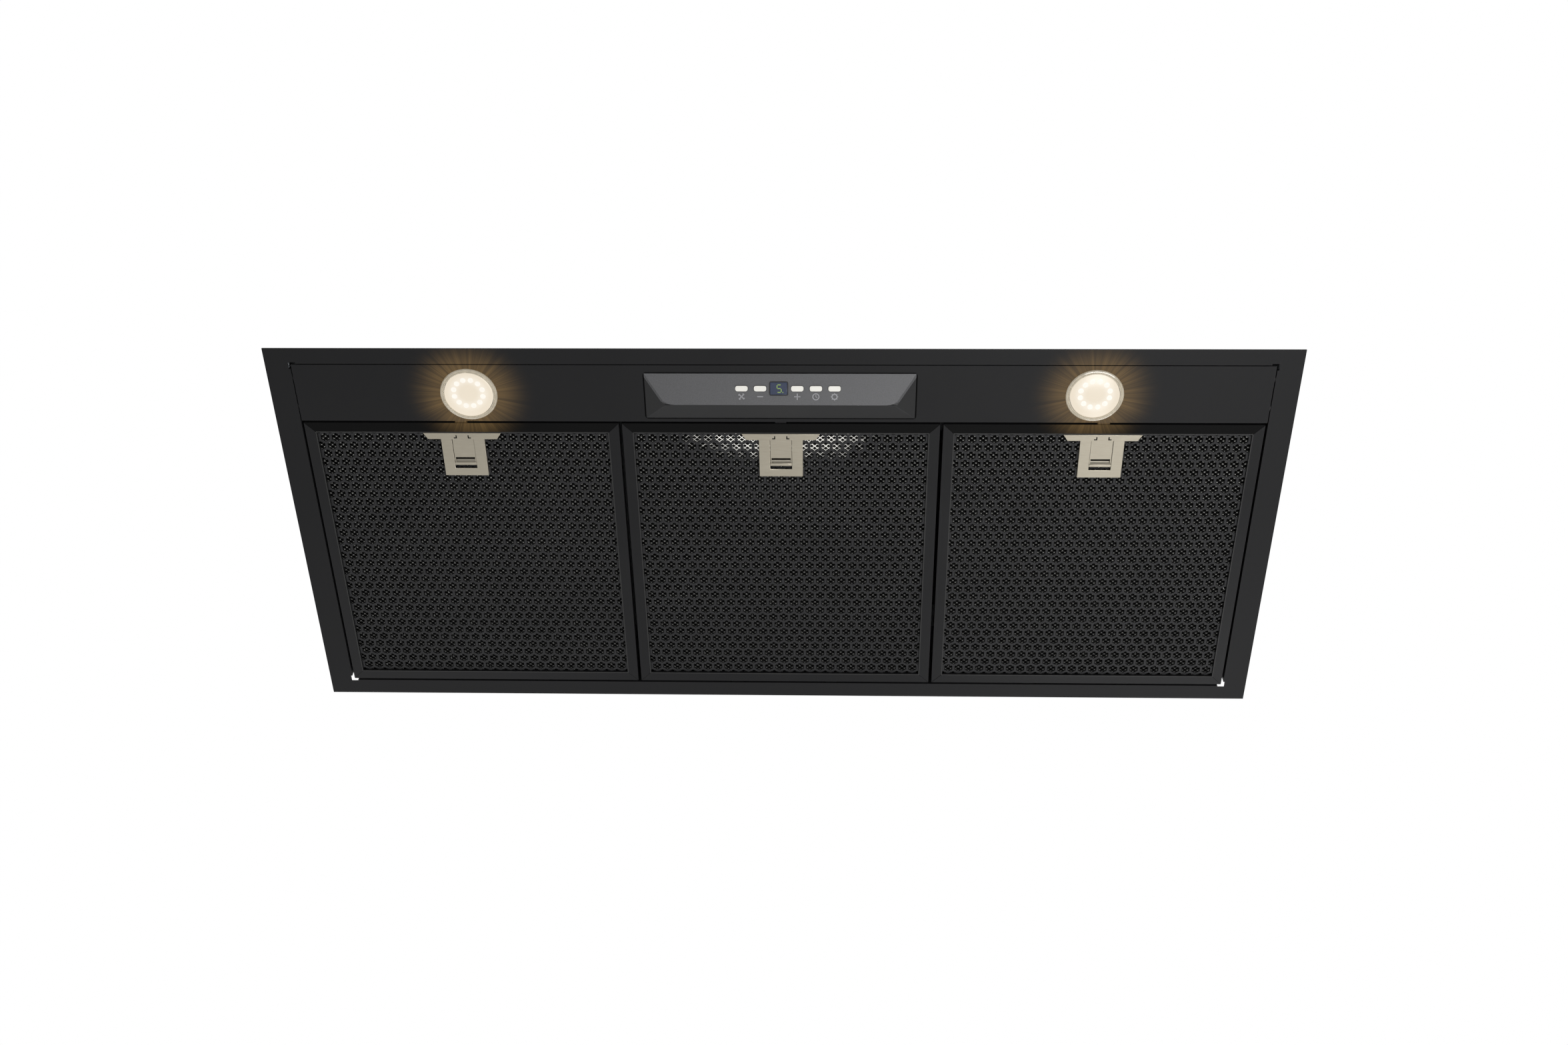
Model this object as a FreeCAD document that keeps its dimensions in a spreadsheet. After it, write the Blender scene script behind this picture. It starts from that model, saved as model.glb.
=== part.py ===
import FreeCAD, Part
import math
import os
import re

import Sketcher

# Undermount range hood. Millimetres, X to the right, Y to the back, Z up.
# The origin is the middle of the flange's upper face, which meets the cabinet's underside.

SIZES = {
    # Fascia: a flange round the cut-out with a collar turned up at its inner edge
    "hood_width": 900,
    "hood_depth": 385,
    "fascia_sheet": 1.2,
    "side_border": 22,
    "front_border": 15,
    "rear_border": 16,
    "collar_height": 23,
    "relief_length": 5,
    "relief_margin": 0.3,
    # Control strip: a shallow tray across the front of the opening
    "strip_gap": 0.8,
    "strip_depth": 56.5,
    "strip_sheet": 1,
    "strip_upstand": 10,
    "spacer_radius": 4,
    "spacer_inset": 14,
    # Plenum: galvanised hat over the collar, sloped back above its front fold
    "plenum_sheet": 0.8,
    "plenum_start": 14,
    "plenum_top": 95,
    "slope_start": 24,
    "slope_run": 44,
    "end_flange": 10,
    "fixing_spacing": 200,
    "fixing_radius": 2.5,
    "fixing_height": 55,
    "rivet_radius": 2.5,
    "rivet_head": 1,
    "rivet_inset": 60,
    # Motor chamber on the plenum
    "chamber_sheet": 0.8,
    "chamber_width": 330,
    "chamber_front": -66,
    "chamber_rear": 160,
    "chamber_top": 238,
    "chamber_flange": 14,
    "chamber_lip": 10,
    "screw_head_radius": 4,
    "screw_head": 2.5,
    # Blower: a volute of quarter arcs round a drum wheel
    "wheel_radius": 55,
    "wheel_width": 90,
    "wheel_disc": 3,
    "wheel_rim": 2,
    "blade_count": 36,
    "blade_depth": 11,
    "blade_sweep": 5,
    "blade_sheet": 1.2,
    "hub_radius": 12,
    "hub_length": 26,
    "shaft_radius": 4,
    "shaft_tail": 6,
    "running_gap": 0.05,
    "volute_gap": 5,
    "volute_step": 12,
    "volute_floor": 7,
    "volute_angle": 60,
    "volute_y": -3,
    "scroll_sheet": 1,
    "scroll_gap": 7,
    "inlet_radius": 47,
    "inlet_lip": 8,
    # Motor on its bracket, left of the wheel
    "motor_radius": 38,
    "motor_length": 52,
    "motor_gap": 5,
    "bracket_sheet": 2,
    "bracket_ring": 6,
    "bracket_reach": 57,
    "bracket_arm": 12,
    "bracket_fit": 0.1,
    "capacitor_radius": 15,
    "capacitor_length": 48,
    # Outlet for the duct, with two damper flaps
    "duct_radius": 74.5,
    "duct_sheet": 1.2,
    "duct_height": 40,
    "duct_flange": 16,
    "duct_ledge": 4,
    "flap_height": 14,
    "flap_sheet": 1,
    "flap_margin": 1.8,
    "flap_rest": 0.2,
    "pin_radius": 1.5,
    "pin_offset": 5,
    "pin_end_gap": 0.3,
    "knuckle_wall": 1.5,
    "knuckle_length": 100,
    # Electronics on the plenum's top
    "ebox_left": 200,
    "ebox_width": 130,
    "ebox_front": -60,
    "ebox_depth": 90,
    "ebox_height": 42,
    "ebox_wall": 2,
    "lid_height": 3,
    "block_width": 40,
    "block_depth": 18,
    "block_height": 15,
    "gland_bore": 4.5,
    "gland_radius": 9,
    "gland_length": 22,
    "gland_thread": 7.5,
    # Lamps
    "lamp_from_side": 176,
    "lamp_from_front": 44.8,
    "lamp_rim_radius": 25.2,
    "lamp_rim_height": 2,
    "lamp_rim_width": 3.4,
    "lamp_neck_wall": 1.2,
    "lamp_neck_height": 8,
    "lamp_fit": 0.3,
    "lamp_lens_sheet": 1.5,
    "lamp_board_sheet": 1.6,
    "lamp_board_height": 4,
    "led_count": 12,
    "led_ring_radius": 12.7,
    "led_radius": 1.6,
    "led_height": 0.8,
    "lamp_can_radius": 25,
    "lamp_can_height": 22,
    "lamp_can_sheet": 1.5,
    # Control panel: a wedge that leans its face towards the user
    "panel_width": 237,
    "panel_from_front": 23.4,
    "panel_depth": 44.5,
    "panel_step": 1,
    "panel_drop": 10,
    "panel_run": 26.2,
    "panel_hip": 18.6,
    "face_sheet": 1.2,
    "panel_wall": 4,
    "shell_wall": 1.5,
    "shell_height": 22,
    "control_pitch": 16.2,
    "control_shift": 7.1,
    "button_width": 10.8,
    "button_depth": 4.8,
    "button_round": 1.9,
    "button_from_front": 13,
    "button_proud": 1,
    "button_travel": 1,
    "button_fit": 0.3,
    "button_flange": 1,
    "display_width": 15,
    "display_depth": 11,
    "board_width": 130,
    "board_depth": 20,
    "board_sheet": 1.6,
    "board_behind": 5.6,
    "switch_side": 4,
    "post_side": 4,
    "post_inset": 5,
    # Grease filters
    "filter_side_gap": 2,
    "filter_between": 3,
    "filter_front_gap": 2,
    "hinge_gap": 2,
    "filter_height": 9,
    "filter_sheet": 0.8,
    "frame_face": 10,
    "frame_recess": 2.5,
    "frame_top": 8,
    "mitre_width": 0.4,
    "mitre_depth": 0.3,
    "grid_sheet": 0.8,
    "grid_fit": 0.2,
    "grid_pitch": 20,
    "grid_web": 3.5,
    "grid_margin": 3,
    "mesh_height": 2.6,
    "tab_offset": 46,
    "tab_width": 12,
    "tab_sheet": 1,
    "tab_height": 2.6,
    "tab_reach": 3,
    "slot_width": 14.4,
    "slot_room": 1.35,
    # Latch plate and sliding latch on each filter
    "plate_bar_width": 70,
    "plate_bar_depth": 6.3,
    "plate_bar_slant": 4,
    "plate_width": 39.2,
    "plate_length": 44.4,
    "plate_proud": 1,
    "plate_sheet": 0.8,
    "plate_wall": 1,
    "window_width": 19.6,
    "window_from_front": 6.4,
    "window_length": 30.2,
    "slider_fit": 0.15,
    "slider_side": 2.2,
    "slider_sheet": 1,
    "slider_panel": 21.4,
    "finger_gap": 4.9,
    "finger_bar": 3.2,
    "tongue_width": 10,
    "tongue_sheet": 1,
    "tongue_room": 0.3,
    "tongue_rest": 0.4,
    "tongue_root": 4,
}

WORD = re.compile(r"[a-z][a-z0-9_]*")
AXIS_TURN = {
    "x": FreeCAD.Rotation(FreeCAD.Vector(0, 1, 0), 90),
    "y": FreeCAD.Rotation(FreeCAD.Vector(1, 0, 0), -90),
    "z": FreeCAD.Rotation(),
}

doc = FreeCAD.newDocument("RangeHood")
sheet = doc.addObject("Spreadsheet::Sheet", "Sizes")
for row, (word, number) in enumerate(SIZES.items(), start=1):
    sheet.set(f"A{row}", word)
    sheet.set(f"B{row}", str(number))
    sheet.setAlias(f"B{row}", word)
doc.recompute()
nodes = {}


def formula(text):
    """A formula in the sheet's own names, written as a document expression."""
    return WORD.sub(lambda hit: f"Sizes.{hit[0]}" if hit[0] in SIZES else hit[0], text)


def amount(text):
    """The number that a formula in the sheet's names comes to now."""
    return float(sheet.evalExpression(formula(text)))


def bind(item, **formulas):
    """Bind properties of an object to formulas."""
    for name, text in formulas.items():
        item.setExpression(name, formula(text))


def place(item, x="0", y="0", z="0"):
    """Bind an object's place to formulas."""
    for axis, text in zip("xyz", (x, y, z)):
        item.setExpression(f"Placement.Base.{axis}", formula(text))


def node(label, item):
    """Keep a finished sub-part under its own label."""
    item.Label = label
    nodes[label] = item
    return item


def box(name, x, y, z):
    """A box between two planes on each axis, each pair given as formulas."""
    made = doc.addObject("Part::Box", name)
    spans = (x, y, z)
    for side, (low, high) in zip(("Length", "Width", "Height"), spans):
        bind(made, **{side: f"({high}) - ({low})"})
    place(made, *(low for low, high in spans))
    return made


def rod(name, axis, radius, x, y, z, length):
    """A cylinder that starts at a point and runs along one axis."""
    made = doc.addObject("Part::Cylinder", name)
    made.Placement = FreeCAD.Placement(FreeCAD.Vector(), AXIS_TURN[axis])
    bind(made, Radius=radius, Height=length)
    place(made, x, y, z)
    return made


def fuse(name, *parts):
    """One solid, or one tool, from several."""
    made = doc.addObject("Part::MultiFuse", name)
    made.Shapes = list(parts)
    made.Refine = True
    return made


def cut(name, base, *tools):
    """What is left of a solid when the tools are taken out of it."""
    made = doc.addObject("Part::Cut", name)
    made.Base = base
    made.Tool = tools[0] if len(tools) == 1 else fuse(f"{name}_tools", *tools)
    made.Refine = True
    return made


def group(name, *parts):
    """Like pieces that stay separate solids in one node."""
    made = doc.addObject("Part::Compound", name)
    made.Links = list(parts)
    return made


def ring(name, x, y, width, z):
    """A rectangular ring: its outer spans, the width of its sides and its height."""
    inner = [(f"({low}) + ({width})", f"({high}) - ({width})") for low, high in (x, y)]
    outside = box(f"{name}_outside", x, y, z)
    inside = box(f"{name}_inside", *inner, (f"({z[0]}) - 1", f"({z[1]}) + 1"))
    return cut(name, outside, inside)


def origin_part(body, role):
    """One of a body's own origin planes or axes."""
    return next(item for item in body.Origin.OriginFeatures if item.Role == role)


def sketch(body, name, plane, *outlines, height="0"):
    """A sketch on a body's own plane, with every corner held by two formulas."""
    made = body.newObject("Sketcher::SketchObject", name)
    made.AttachmentSupport = [(origin_part(body, plane), "")]
    made.MapMode = "FlatFace"
    made.setExpression("AttachmentOffset.Base.z", formula(height))
    for corners in outlines:
        points = [FreeCAD.Vector(amount(x), amount(y), 0) for x, y in corners]
        first = made.GeometryCount
        for start, end in zip(points, points[1:] + points[:1]):
            made.addGeometry(Part.LineSegment(start, end), False)
        for step, (x, y) in enumerate(corners):
            line = first + step
            before = first + (step - 1) % len(corners)
            made.addConstraint(Sketcher.Constraint("Coincident", before, 2, line, 1))
            for kind, text in (("DistanceX", x), ("DistanceY", y)):
                held = made.addConstraint(Sketcher.Constraint(kind, -1, 1, line, 1, amount(text)))
                made.setExpression(f"Constraints[{held}]", formula(text))
    return made


def rectangle(x, y):
    """The four corners of a rectangle between two spans."""
    return [(x[0], y[0]), (x[1], y[0]), (x[1], y[1]), (x[0], y[1])]


def pad(body, profile, length):
    """Raise a sketch along its plane's normal."""
    made = body.newObject("PartDesign::Pad", f"{profile.Name}_pad")
    made.Profile = profile
    bind(made, Length=length)
    return made


def pocket(body, profile, depth):
    """Sink a sketch against its plane's normal."""
    made = body.newObject("PartDesign::Pocket", f"{profile.Name}_pocket")
    made.Profile = profile
    bind(made, Length=depth)
    return made


def turned(name, corners, x="0", y="0"):
    """A body turned about an upright axis from a profile of radii and heights."""
    body = doc.addObject("PartDesign::Body", name)
    profile = sketch(body, f"{name}_profile", "XZ_Plane", corners)
    made = body.newObject("PartDesign::Revolution", f"{name}_turn")
    made.Profile = profile
    made.ReferenceAxis = (origin_part(body, "Z_Axis"), [""])
    made.Angle = 360
    place(body, x, y)
    return body


# Spans that many pieces share
OPEN_X = "(hood_width / 2 - side_border)"
OPEN_FRONT = "(front_border - hood_depth / 2)"
OPEN_REAR = "(hood_depth / 2 - rear_border)"
FACE_Z = "(-fascia_sheet)"
COLLAR_X = f"({OPEN_X} + fascia_sheet)"
COLLAR_FRONT = f"({OPEN_FRONT} - fascia_sheet)"
COLLAR_REAR = f"({OPEN_REAR} + fascia_sheet)"
STRIP_X = f"({OPEN_X} - strip_gap)"
STRIP_FRONT = f"({OPEN_FRONT} + strip_gap)"
STRIP_REAR = f"({STRIP_FRONT} + strip_depth)"
STRIP_TOP = f"({FACE_Z} + strip_sheet)"
FILTER_WIDTH = f"((2 * {OPEN_X} - 2 * filter_side_gap - 2 * filter_between) / 3)"
FILTER_PITCH = f"({FILTER_WIDTH} + filter_between)"
FILTER_FRONT = f"({STRIP_REAR} + filter_front_gap)"
FILTER_REAR = f"({OPEN_REAR} - hinge_gap)"
FILTER_TOP = f"({FACE_Z} + filter_height)"
GRID_Z = f"({FACE_Z} + frame_recess)"
HINGE_Z = f"({FACE_Z} + tab_height)"
TONGUE_TOP = f"({GRID_Z} - tongue_room)"
TONGUE_Z = f"({TONGUE_TOP} - tongue_sheet)"
PLENUM_FRONT = f"({COLLAR_FRONT} - plenum_sheet)"
PLENUM_REAR = f"({COLLAR_REAR} + plenum_sheet)"
FILTERS = {"left": f"(-{FILTER_PITCH})", "middle": "0", "right": FILTER_PITCH}


def either_side(text):
    """The span that reaches a formula's distance to both sides of the middle."""
    return (f"-({text})", text)


# Fascia frame: flange, collar, corner reliefs and the slots that take the filters' tabs
fascia = doc.addObject("PartDesign::Body", "fascia_blank")
opening = rectangle(either_side(OPEN_X), (OPEN_FRONT, OPEN_REAR))
flange_outline = rectangle(either_side("hood_width / 2"), either_side("hood_depth / 2"))
collar_outline = rectangle(either_side(COLLAR_X), (COLLAR_FRONT, COLLAR_REAR))
pad(fascia, sketch(fascia, "flange", "XY_Plane", flange_outline, opening, height=FACE_Z), "fascia_sheet")
pad(fascia, sketch(fascia, "collar", "XY_Plane", collar_outline, opening, height=FACE_Z),
    "collar_height + fascia_sheet")
relief_out = f"({OPEN_X} + fascia_sheet + relief_margin)"
relief_in = f"({OPEN_X} - relief_length)"
relief_front = (f"{COLLAR_FRONT} - relief_margin", f"{OPEN_FRONT} + relief_length")
relief_rear = (f"{OPEN_REAR} - relief_length", f"{COLLAR_REAR} + relief_margin")
reliefs = [rectangle(x, y) for x in ((f"-{relief_out}", f"-{relief_in}"), (relief_in, relief_out))
           for y in (relief_front, relief_rear)]
pocket(fascia, sketch(fascia, "reliefs", "XY_Plane", *reliefs, height="collar_height"),
       "collar_height + fascia_sheet")
tab_slots = []
for side, middle in FILTERS.items():
    for shift in ("-tab_offset", "tab_offset"):
        slot_x = (f"{middle} + {shift} - slot_width / 2", f"{middle} + {shift} + slot_width / 2")
        tab_slots.append(box("tab_slot", slot_x, (f"{OPEN_REAR} - 1", f"{COLLAR_REAR} + 1"),
                             (f"{HINGE_Z} - slot_room", f"{HINGE_Z} + slot_room")))
node("fascia_frame", cut("fascia_frame", fascia, *tab_slots))

# Control strip: tray with lamp holes, the panel's window and a slot for each latch tongue
PANEL_FRONT = "(panel_from_front - hood_depth / 2)"
PANEL_REAR = f"({PANEL_FRONT} + panel_depth)"
PANEL_CAVITY = "(panel_width / 2 - panel_hip - panel_wall)"
LAMP_X = "(hood_width / 2 - lamp_from_side)"
LAMP_Y = "(lamp_from_front - hood_depth / 2)"
LAMP_NECK = "(lamp_rim_radius - lamp_rim_width)"
tray = box("tray", either_side(STRIP_X), (STRIP_FRONT, STRIP_REAR), (FACE_Z, f"{FACE_Z} + strip_upstand"))
tray_room = box("tray_room", either_side(f"{STRIP_X} - strip_sheet"),
                (f"{STRIP_FRONT} + strip_sheet", f"{STRIP_REAR} - strip_sheet"),
                (STRIP_TOP, f"{FACE_Z} + strip_upstand + 1"))
strip_holes = [rod("lamp_hole", "z", f"{LAMP_NECK} + lamp_fit", x, LAMP_Y, f"{FACE_Z} - 1", "strip_sheet + 2")
               for x in either_side(LAMP_X)]
strip_holes.append(box("panel_window", either_side(PANEL_CAVITY),
                       (f"{PANEL_FRONT} + panel_wall", f"{PANEL_REAR} - 2 * panel_wall"),
                       (f"{FACE_Z} - 1", f"{STRIP_TOP} + 1")))
for side, middle in FILTERS.items():
    half = "(tongue_width / 2 + 2 * tongue_room)"
    strip_holes.append(box("tongue_slot", (f"{middle} - {half}", f"{middle} + {half}"),
                           (f"{STRIP_REAR} - strip_sheet - 1", f"{STRIP_REAR} + 1"),
                           (STRIP_TOP, f"{TONGUE_TOP} + 2 * tongue_room")))
node("control_strip", cut("control_strip", tray, tray_room, *strip_holes))
spacers = [rod("spacer", "x", "spacer_radius", x, y, f"{FACE_Z} + strip_upstand / 2", "strip_gap")
           for x in (f"-{OPEN_X}", STRIP_X)
           for y in (f"{STRIP_FRONT} + spacer_inset", f"{STRIP_REAR} - spacer_inset")]
node("strip_spacers", group("strip_spacers", *spacers))

# Plenum: a folded hat over the collar, closed by two end plates that carry the side fixings
CHAMBER_X = "(chamber_width / 2)"
CHAMBER_Y = ("chamber_front", "chamber_rear")
SLOPE_TURN = "atan(slope_run / (plenum_top - slope_start))"
SLOPE_Y = f"({PLENUM_FRONT} + slope_run)"
SLOPE_IN = f"({SLOPE_Y} + plenum_sheet * tan(45 deg - {SLOPE_TURN} / 2))"
hat_outside = [(PLENUM_FRONT, "plenum_start"), (PLENUM_FRONT, "slope_start"), (SLOPE_Y, "plenum_top"),
               (PLENUM_REAR, "plenum_top"), (PLENUM_REAR, "plenum_start")]
hat_inside = [(COLLAR_REAR, "plenum_start"), (COLLAR_REAR, "plenum_top - plenum_sheet"),
              (SLOPE_IN, "plenum_top - plenum_sheet"),
              (COLLAR_FRONT, f"slope_start - plenum_sheet * tan({SLOPE_TURN} / 2)"),
              (COLLAR_FRONT, "plenum_start")]
hat = doc.addObject("PartDesign::Body", "plenum_folds")
pad(hat, sketch(hat, "hat", "YZ_Plane", hat_outside + hat_inside, height=f"-{COLLAR_X}"), f"2 * {COLLAR_X}")
air_way = box("air_way", either_side(f"{CHAMBER_X} - chamber_lip"),
              ("chamber_front + chamber_lip", "chamber_rear - chamber_lip"),
              ("plenum_top - plenum_sheet - 1", "plenum_top + 1"))
node("plenum_shell", cut("plenum_shell", hat, air_way))
for side, start, lip_start in (("left", f"-{COLLAR_X} - plenum_sheet", f"-{COLLAR_X}"),
                               ("right", COLLAR_X, f"{COLLAR_X} - end_flange")):
    plate = doc.addObject("PartDesign::Body", "end_plate")
    pad(plate, sketch(plate, "end_outline", "YZ_Plane", hat_outside, height=start), "plenum_sheet")
    lip = box("end_lip", (lip_start, f"{lip_start} + end_flange"),
              (f"{SLOPE_IN} + plenum_sheet", COLLAR_REAR),
              ("plenum_top - 2 * plenum_sheet", "plenum_top - plenum_sheet"))
    holes = [rod("fixing_hole", "x", "fixing_radius", f"({start}) - 1", y, "fixing_height",
                 "plenum_sheet + 2") for y in either_side("fixing_spacing / 2")]
    node(f"plenum_end_{side}", cut(f"plenum_end_{side}", fuse("end_fold", plate, lip), *holes))
RIVET_STEP = "((hood_width - 2 * rivet_inset) / 6)"
rivets = []
for step in range(-3, 4):
    for start in (f"{PLENUM_FRONT} - rivet_head", PLENUM_REAR):
        rivets.append(rod("rivet", "y", "rivet_radius", f"{step} * {RIVET_STEP}", start,
                          "(plenum_start + collar_height) / 2", "rivet_head"))
node("plenum_rivets", group("plenum_rivets", *rivets))

# Motor chamber: a box open below, with a flange screwed to the plenum's top
OUTLET_X = "(wheel_width / 2 + scroll_gap)"
VOLUTE_R = "(wheel_radius + volute_gap)"
VOLUTE_Z = f"(plenum_top + volute_floor + {VOLUTE_R} + volute_step)"
OUTLET_FRONT = f"(volute_y + {VOLUTE_R} * cos(volute_angle * 1 deg))"
OUTLET_REAR = f"(volute_y + {VOLUTE_R} + 3 * volute_step)"
OUTLET_Y = f"(({OUTLET_FRONT} + {OUTLET_REAR}) / 2)"
CHAMBER_ROOF = "(chamber_top - chamber_sheet)"
chamber_walls = box("chamber_walls", either_side(CHAMBER_X), CHAMBER_Y, ("plenum_top", "chamber_top"))
chamber_foot = box("chamber_foot", either_side(f"{CHAMBER_X} + chamber_flange"),
                   ("chamber_front - chamber_flange", "chamber_rear + chamber_flange"),
                   ("plenum_top", "plenum_top + chamber_sheet"))
chamber_room = box("chamber_room", either_side(f"{CHAMBER_X} - chamber_sheet"),
                   ("chamber_front + chamber_sheet", "chamber_rear - chamber_sheet"),
                   ("plenum_top - 1", CHAMBER_ROOF))
outlet_hole = box("outlet_hole", either_side(OUTLET_X), (OUTLET_FRONT, OUTLET_REAR),
                  (f"{CHAMBER_ROOF} - 1", "chamber_top + 1"))
node("motor_chamber", cut("motor_chamber", fuse("chamber_folds", chamber_walls, chamber_foot),
                          chamber_room, outlet_hole))
flange_middle = "chamber_flange / 2"
screws = [rod("screw", "z", "screw_head_radius", x, y, "plenum_top + chamber_sheet", "screw_head")
          for x in (*either_side(f"{CHAMBER_X} + {flange_middle}"), "0")
          for y in (f"chamber_front - {flange_middle}", f"chamber_rear + {flange_middle}")]
node("chamber_screws", group("chamber_screws", *screws))


def volute_path(grow):
    """The volute's edges from tongue to outlet, moved outwards by a sheet's thickness.

    Three arcs with centres on a small square give a spiral with no corners, and a
    straight run at each end carries the sheet up to the chamber's roof.
    """
    step = amount("volute_step")
    radius = amount(VOLUTE_R) + grow
    y = amount("volute_y")
    z = amount(VOLUTE_Z)
    roof = amount(CHAMBER_ROOF)
    lip = math.acos((amount(OUTLET_FRONT) - grow - y) / radius)

    def spot(across, up):
        return FreeCAD.Vector(0, across, up)

    def arc(across, up, reach, start, end):
        points = [spot(across + reach * math.cos(turn), up + reach * math.sin(turn))
                  for turn in (start, (start + end) / 2, end)]
        return Part.Arc(*points).toShape()

    first = arc(y, z, radius, lip, math.pi)
    second = arc(y + step, z, radius + step, math.pi, 1.5 * math.pi)
    third = arc(y + step, z + step, radius + 2 * step, 1.5 * math.pi, 2 * math.pi)
    tongue = spot(y + radius * math.cos(lip), z + radius * math.sin(lip))
    corner = spot(y + radius + 3 * step, z + step)
    rise = Part.makeLine(spot(tongue.y, roof), tongue)
    run = Part.makeLine(corner, spot(corner.y, roof))
    return [rise, first, second, third, run]


def scroll_solid(edges, start, width):
    """A flat outline in the blower's plane, carried along the shaft's direction."""
    face = Part.Face(Part.Wire(Part.__sortEdges__(edges)))
    solid = face.extrude(FreeCAD.Vector(width, 0, 0))
    solid.translate(FreeCAD.Vector(start, 0, 0))
    return solid


def free_shape(name, shape):
    """A sub-part whose outline no primitive gives."""
    made = doc.addObject("Part::Feature", name)
    made.Shape = shape
    return made


# Blower housing: spiral wrapper between two side plates with inlet lips
inner_path = volute_path(0)
outer_path = volute_path(amount("scroll_sheet"))
ends = [Part.makeLine(inner_path[0].Vertexes[0].Point, outer_path[0].Vertexes[0].Point),
        Part.makeLine(inner_path[-1].Vertexes[-1].Point, outer_path[-1].Vertexes[-1].Point)]
half_width = amount(OUTLET_X)
wrapper = scroll_solid(inner_path + outer_path + ends, -half_width, 2 * half_width)
node("scroll_wrapper", free_shape("scroll_wrapper", wrapper))
closing = Part.makeLine(outer_path[0].Vertexes[0].Point, outer_path[-1].Vertexes[-1].Point)
side_sheet = amount("scroll_sheet")
SCROLL_LEFT = f"(-{OUTLET_X} - scroll_sheet)"
for side, start, lip_start in (("left", -half_width - side_sheet, f"{SCROLL_LEFT} - inlet_lip"),
                               ("right", half_width, f"{OUTLET_X} + scroll_sheet")):
    blank = free_shape("side_blank", scroll_solid(outer_path + [closing], start, side_sheet))
    mouth = rod("inlet_mouth", "x", "inlet_radius + scroll_sheet", lip_start, "volute_y", VOLUTE_Z,
                "inlet_lip")
    bore = rod("inlet_bore", "x", "inlet_radius", f"{lip_start} - wheel_width", "volute_y", VOLUTE_Z,
               "3 * wheel_width")
    node(f"scroll_side_{side}", cut(f"scroll_side_{side}", fuse("side_fold", blank, mouth), bore))

# Impeller: swept blades between a centre disc and a rim at each end
drum = doc.addObject("PartDesign::Body", "blade_drum")
place(drum, "0", "volute_y", VOLUTE_Z)
BLADE_END = "(wheel_width / 2 - wheel_rim)"
blade_in = "(wheel_radius - blade_depth)"
blade_out = "(wheel_radius - blade_sheet)"
blade = [(blade_in, "0"), (blade_out, "blade_sweep"), (blade_out, "blade_sweep + blade_sheet"),
         (blade_in, "blade_sheet")]
blade_outline = sketch(drum, "blade", "YZ_Plane", blade, height=f"-{BLADE_END}")
blade_pad = pad(drum, blade_outline, f"2 * {BLADE_END}")
blade_ring = drum.newObject("PartDesign::PolarPattern", "blade_ring")
blade_ring.Originals = [blade_pad]
blade_ring.Axis = (origin_part(drum, "X_Axis"), [""])
blade_ring.Angle = 360
bind(blade_ring, Occurrences="blade_count")
drum.Tip = blade_ring
wheel_disc = rod("wheel_disc", "x", "wheel_radius", "-wheel_disc / 2", "volute_y", VOLUTE_Z, "wheel_disc")
hub = rod("hub", "x", "hub_radius", "-hub_length / 2", "volute_y", VOLUTE_Z, "hub_length")
rims = []
for start in ("-wheel_width / 2", BLADE_END):
    rim = rod("rim", "x", "wheel_radius", start, "volute_y", VOLUTE_Z, "wheel_rim")
    eye = rod("eye", "x", "wheel_radius - blade_depth / 2", f"{start} - 1", "volute_y", VOLUTE_Z,
              "wheel_rim + 2")
    rims.append(cut("rim_ring", rim, eye))
wheel_bore = rod("wheel_bore", "x", "shaft_radius + running_gap", "-wheel_width", "volute_y", VOLUTE_Z,
                 "2 * wheel_width")
wheel = cut("wheel", fuse("wheel_blank", wheel_disc, hub), wheel_bore)
node("impeller", group("impeller", wheel, *rims))
node("impeller_blades", cut("impeller_blades", drum, wheel_disc))

# Motor in the left inlet, held by a ring with three arms, and the shaft that runs in it
MOTOR_RIGHT = "(-wheel_width / 2 - motor_gap)"
MOTOR_LEFT = f"({MOTOR_RIGHT} - motor_length)"
node("impeller_shaft", rod("impeller_shaft", "x", "shaft_radius", MOTOR_LEFT, "volute_y", VOLUTE_Z,
                           f"hub_length / 2 + shaft_tail - {MOTOR_LEFT}"))
can = rod("motor_can", "x", "motor_radius", MOTOR_LEFT, "volute_y", VOLUTE_Z, "motor_length")
can_bore = rod("motor_bore", "x", "shaft_radius + running_gap", f"{MOTOR_LEFT} - 1", "volute_y", VOLUTE_Z,
               "motor_length + 2")
node("motor", cut("motor", can, can_bore))
BRACKET_X = f"({MOTOR_LEFT} + motor_length / 4)"
BRACKET_IN = "(motor_radius + bracket_fit)"
ARM_TURNS = (0, 120, 240)
collar_ring = rod("bracket_ring", "x", f"{BRACKET_IN} + bracket_ring", BRACKET_X, "volute_y", VOLUTE_Z,
                  "bracket_sheet")
arms = []
for turn in ARM_TURNS:
    for name, low, long in (("arm", f"{BRACKET_IN} + bracket_ring / 2", "bracket_sheet"),
                            ("foot", "bracket_reach - bracket_sheet", f"{SCROLL_LEFT} - {BRACKET_X}")):
        arm = doc.addObject("Part::Box", name)
        bind(arm, Length=long, Width="bracket_arm", Height=f"bracket_reach - ({low})")
        heading = f"({turn} deg)"
        arm.Placement = FreeCAD.Placement(FreeCAD.Vector(), FreeCAD.Rotation(FreeCAD.Vector(1, 0, 0), turn))
        place(arm, BRACKET_X,
              f"volute_y - ({low}) * sin{heading} - bracket_arm / 2 * cos{heading}",
              f"{VOLUTE_Z} + ({low}) * cos{heading} - bracket_arm / 2 * sin{heading}")
        arms.append(arm)
ring_bore = rod("ring_bore", "x", BRACKET_IN, f"{BRACKET_X} - 1", "volute_y", VOLUTE_Z,
                "bracket_sheet + 2")
node("motor_bracket", cut("motor_bracket", fuse("bracket_blank", collar_ring, *arms), ring_bore))
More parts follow.
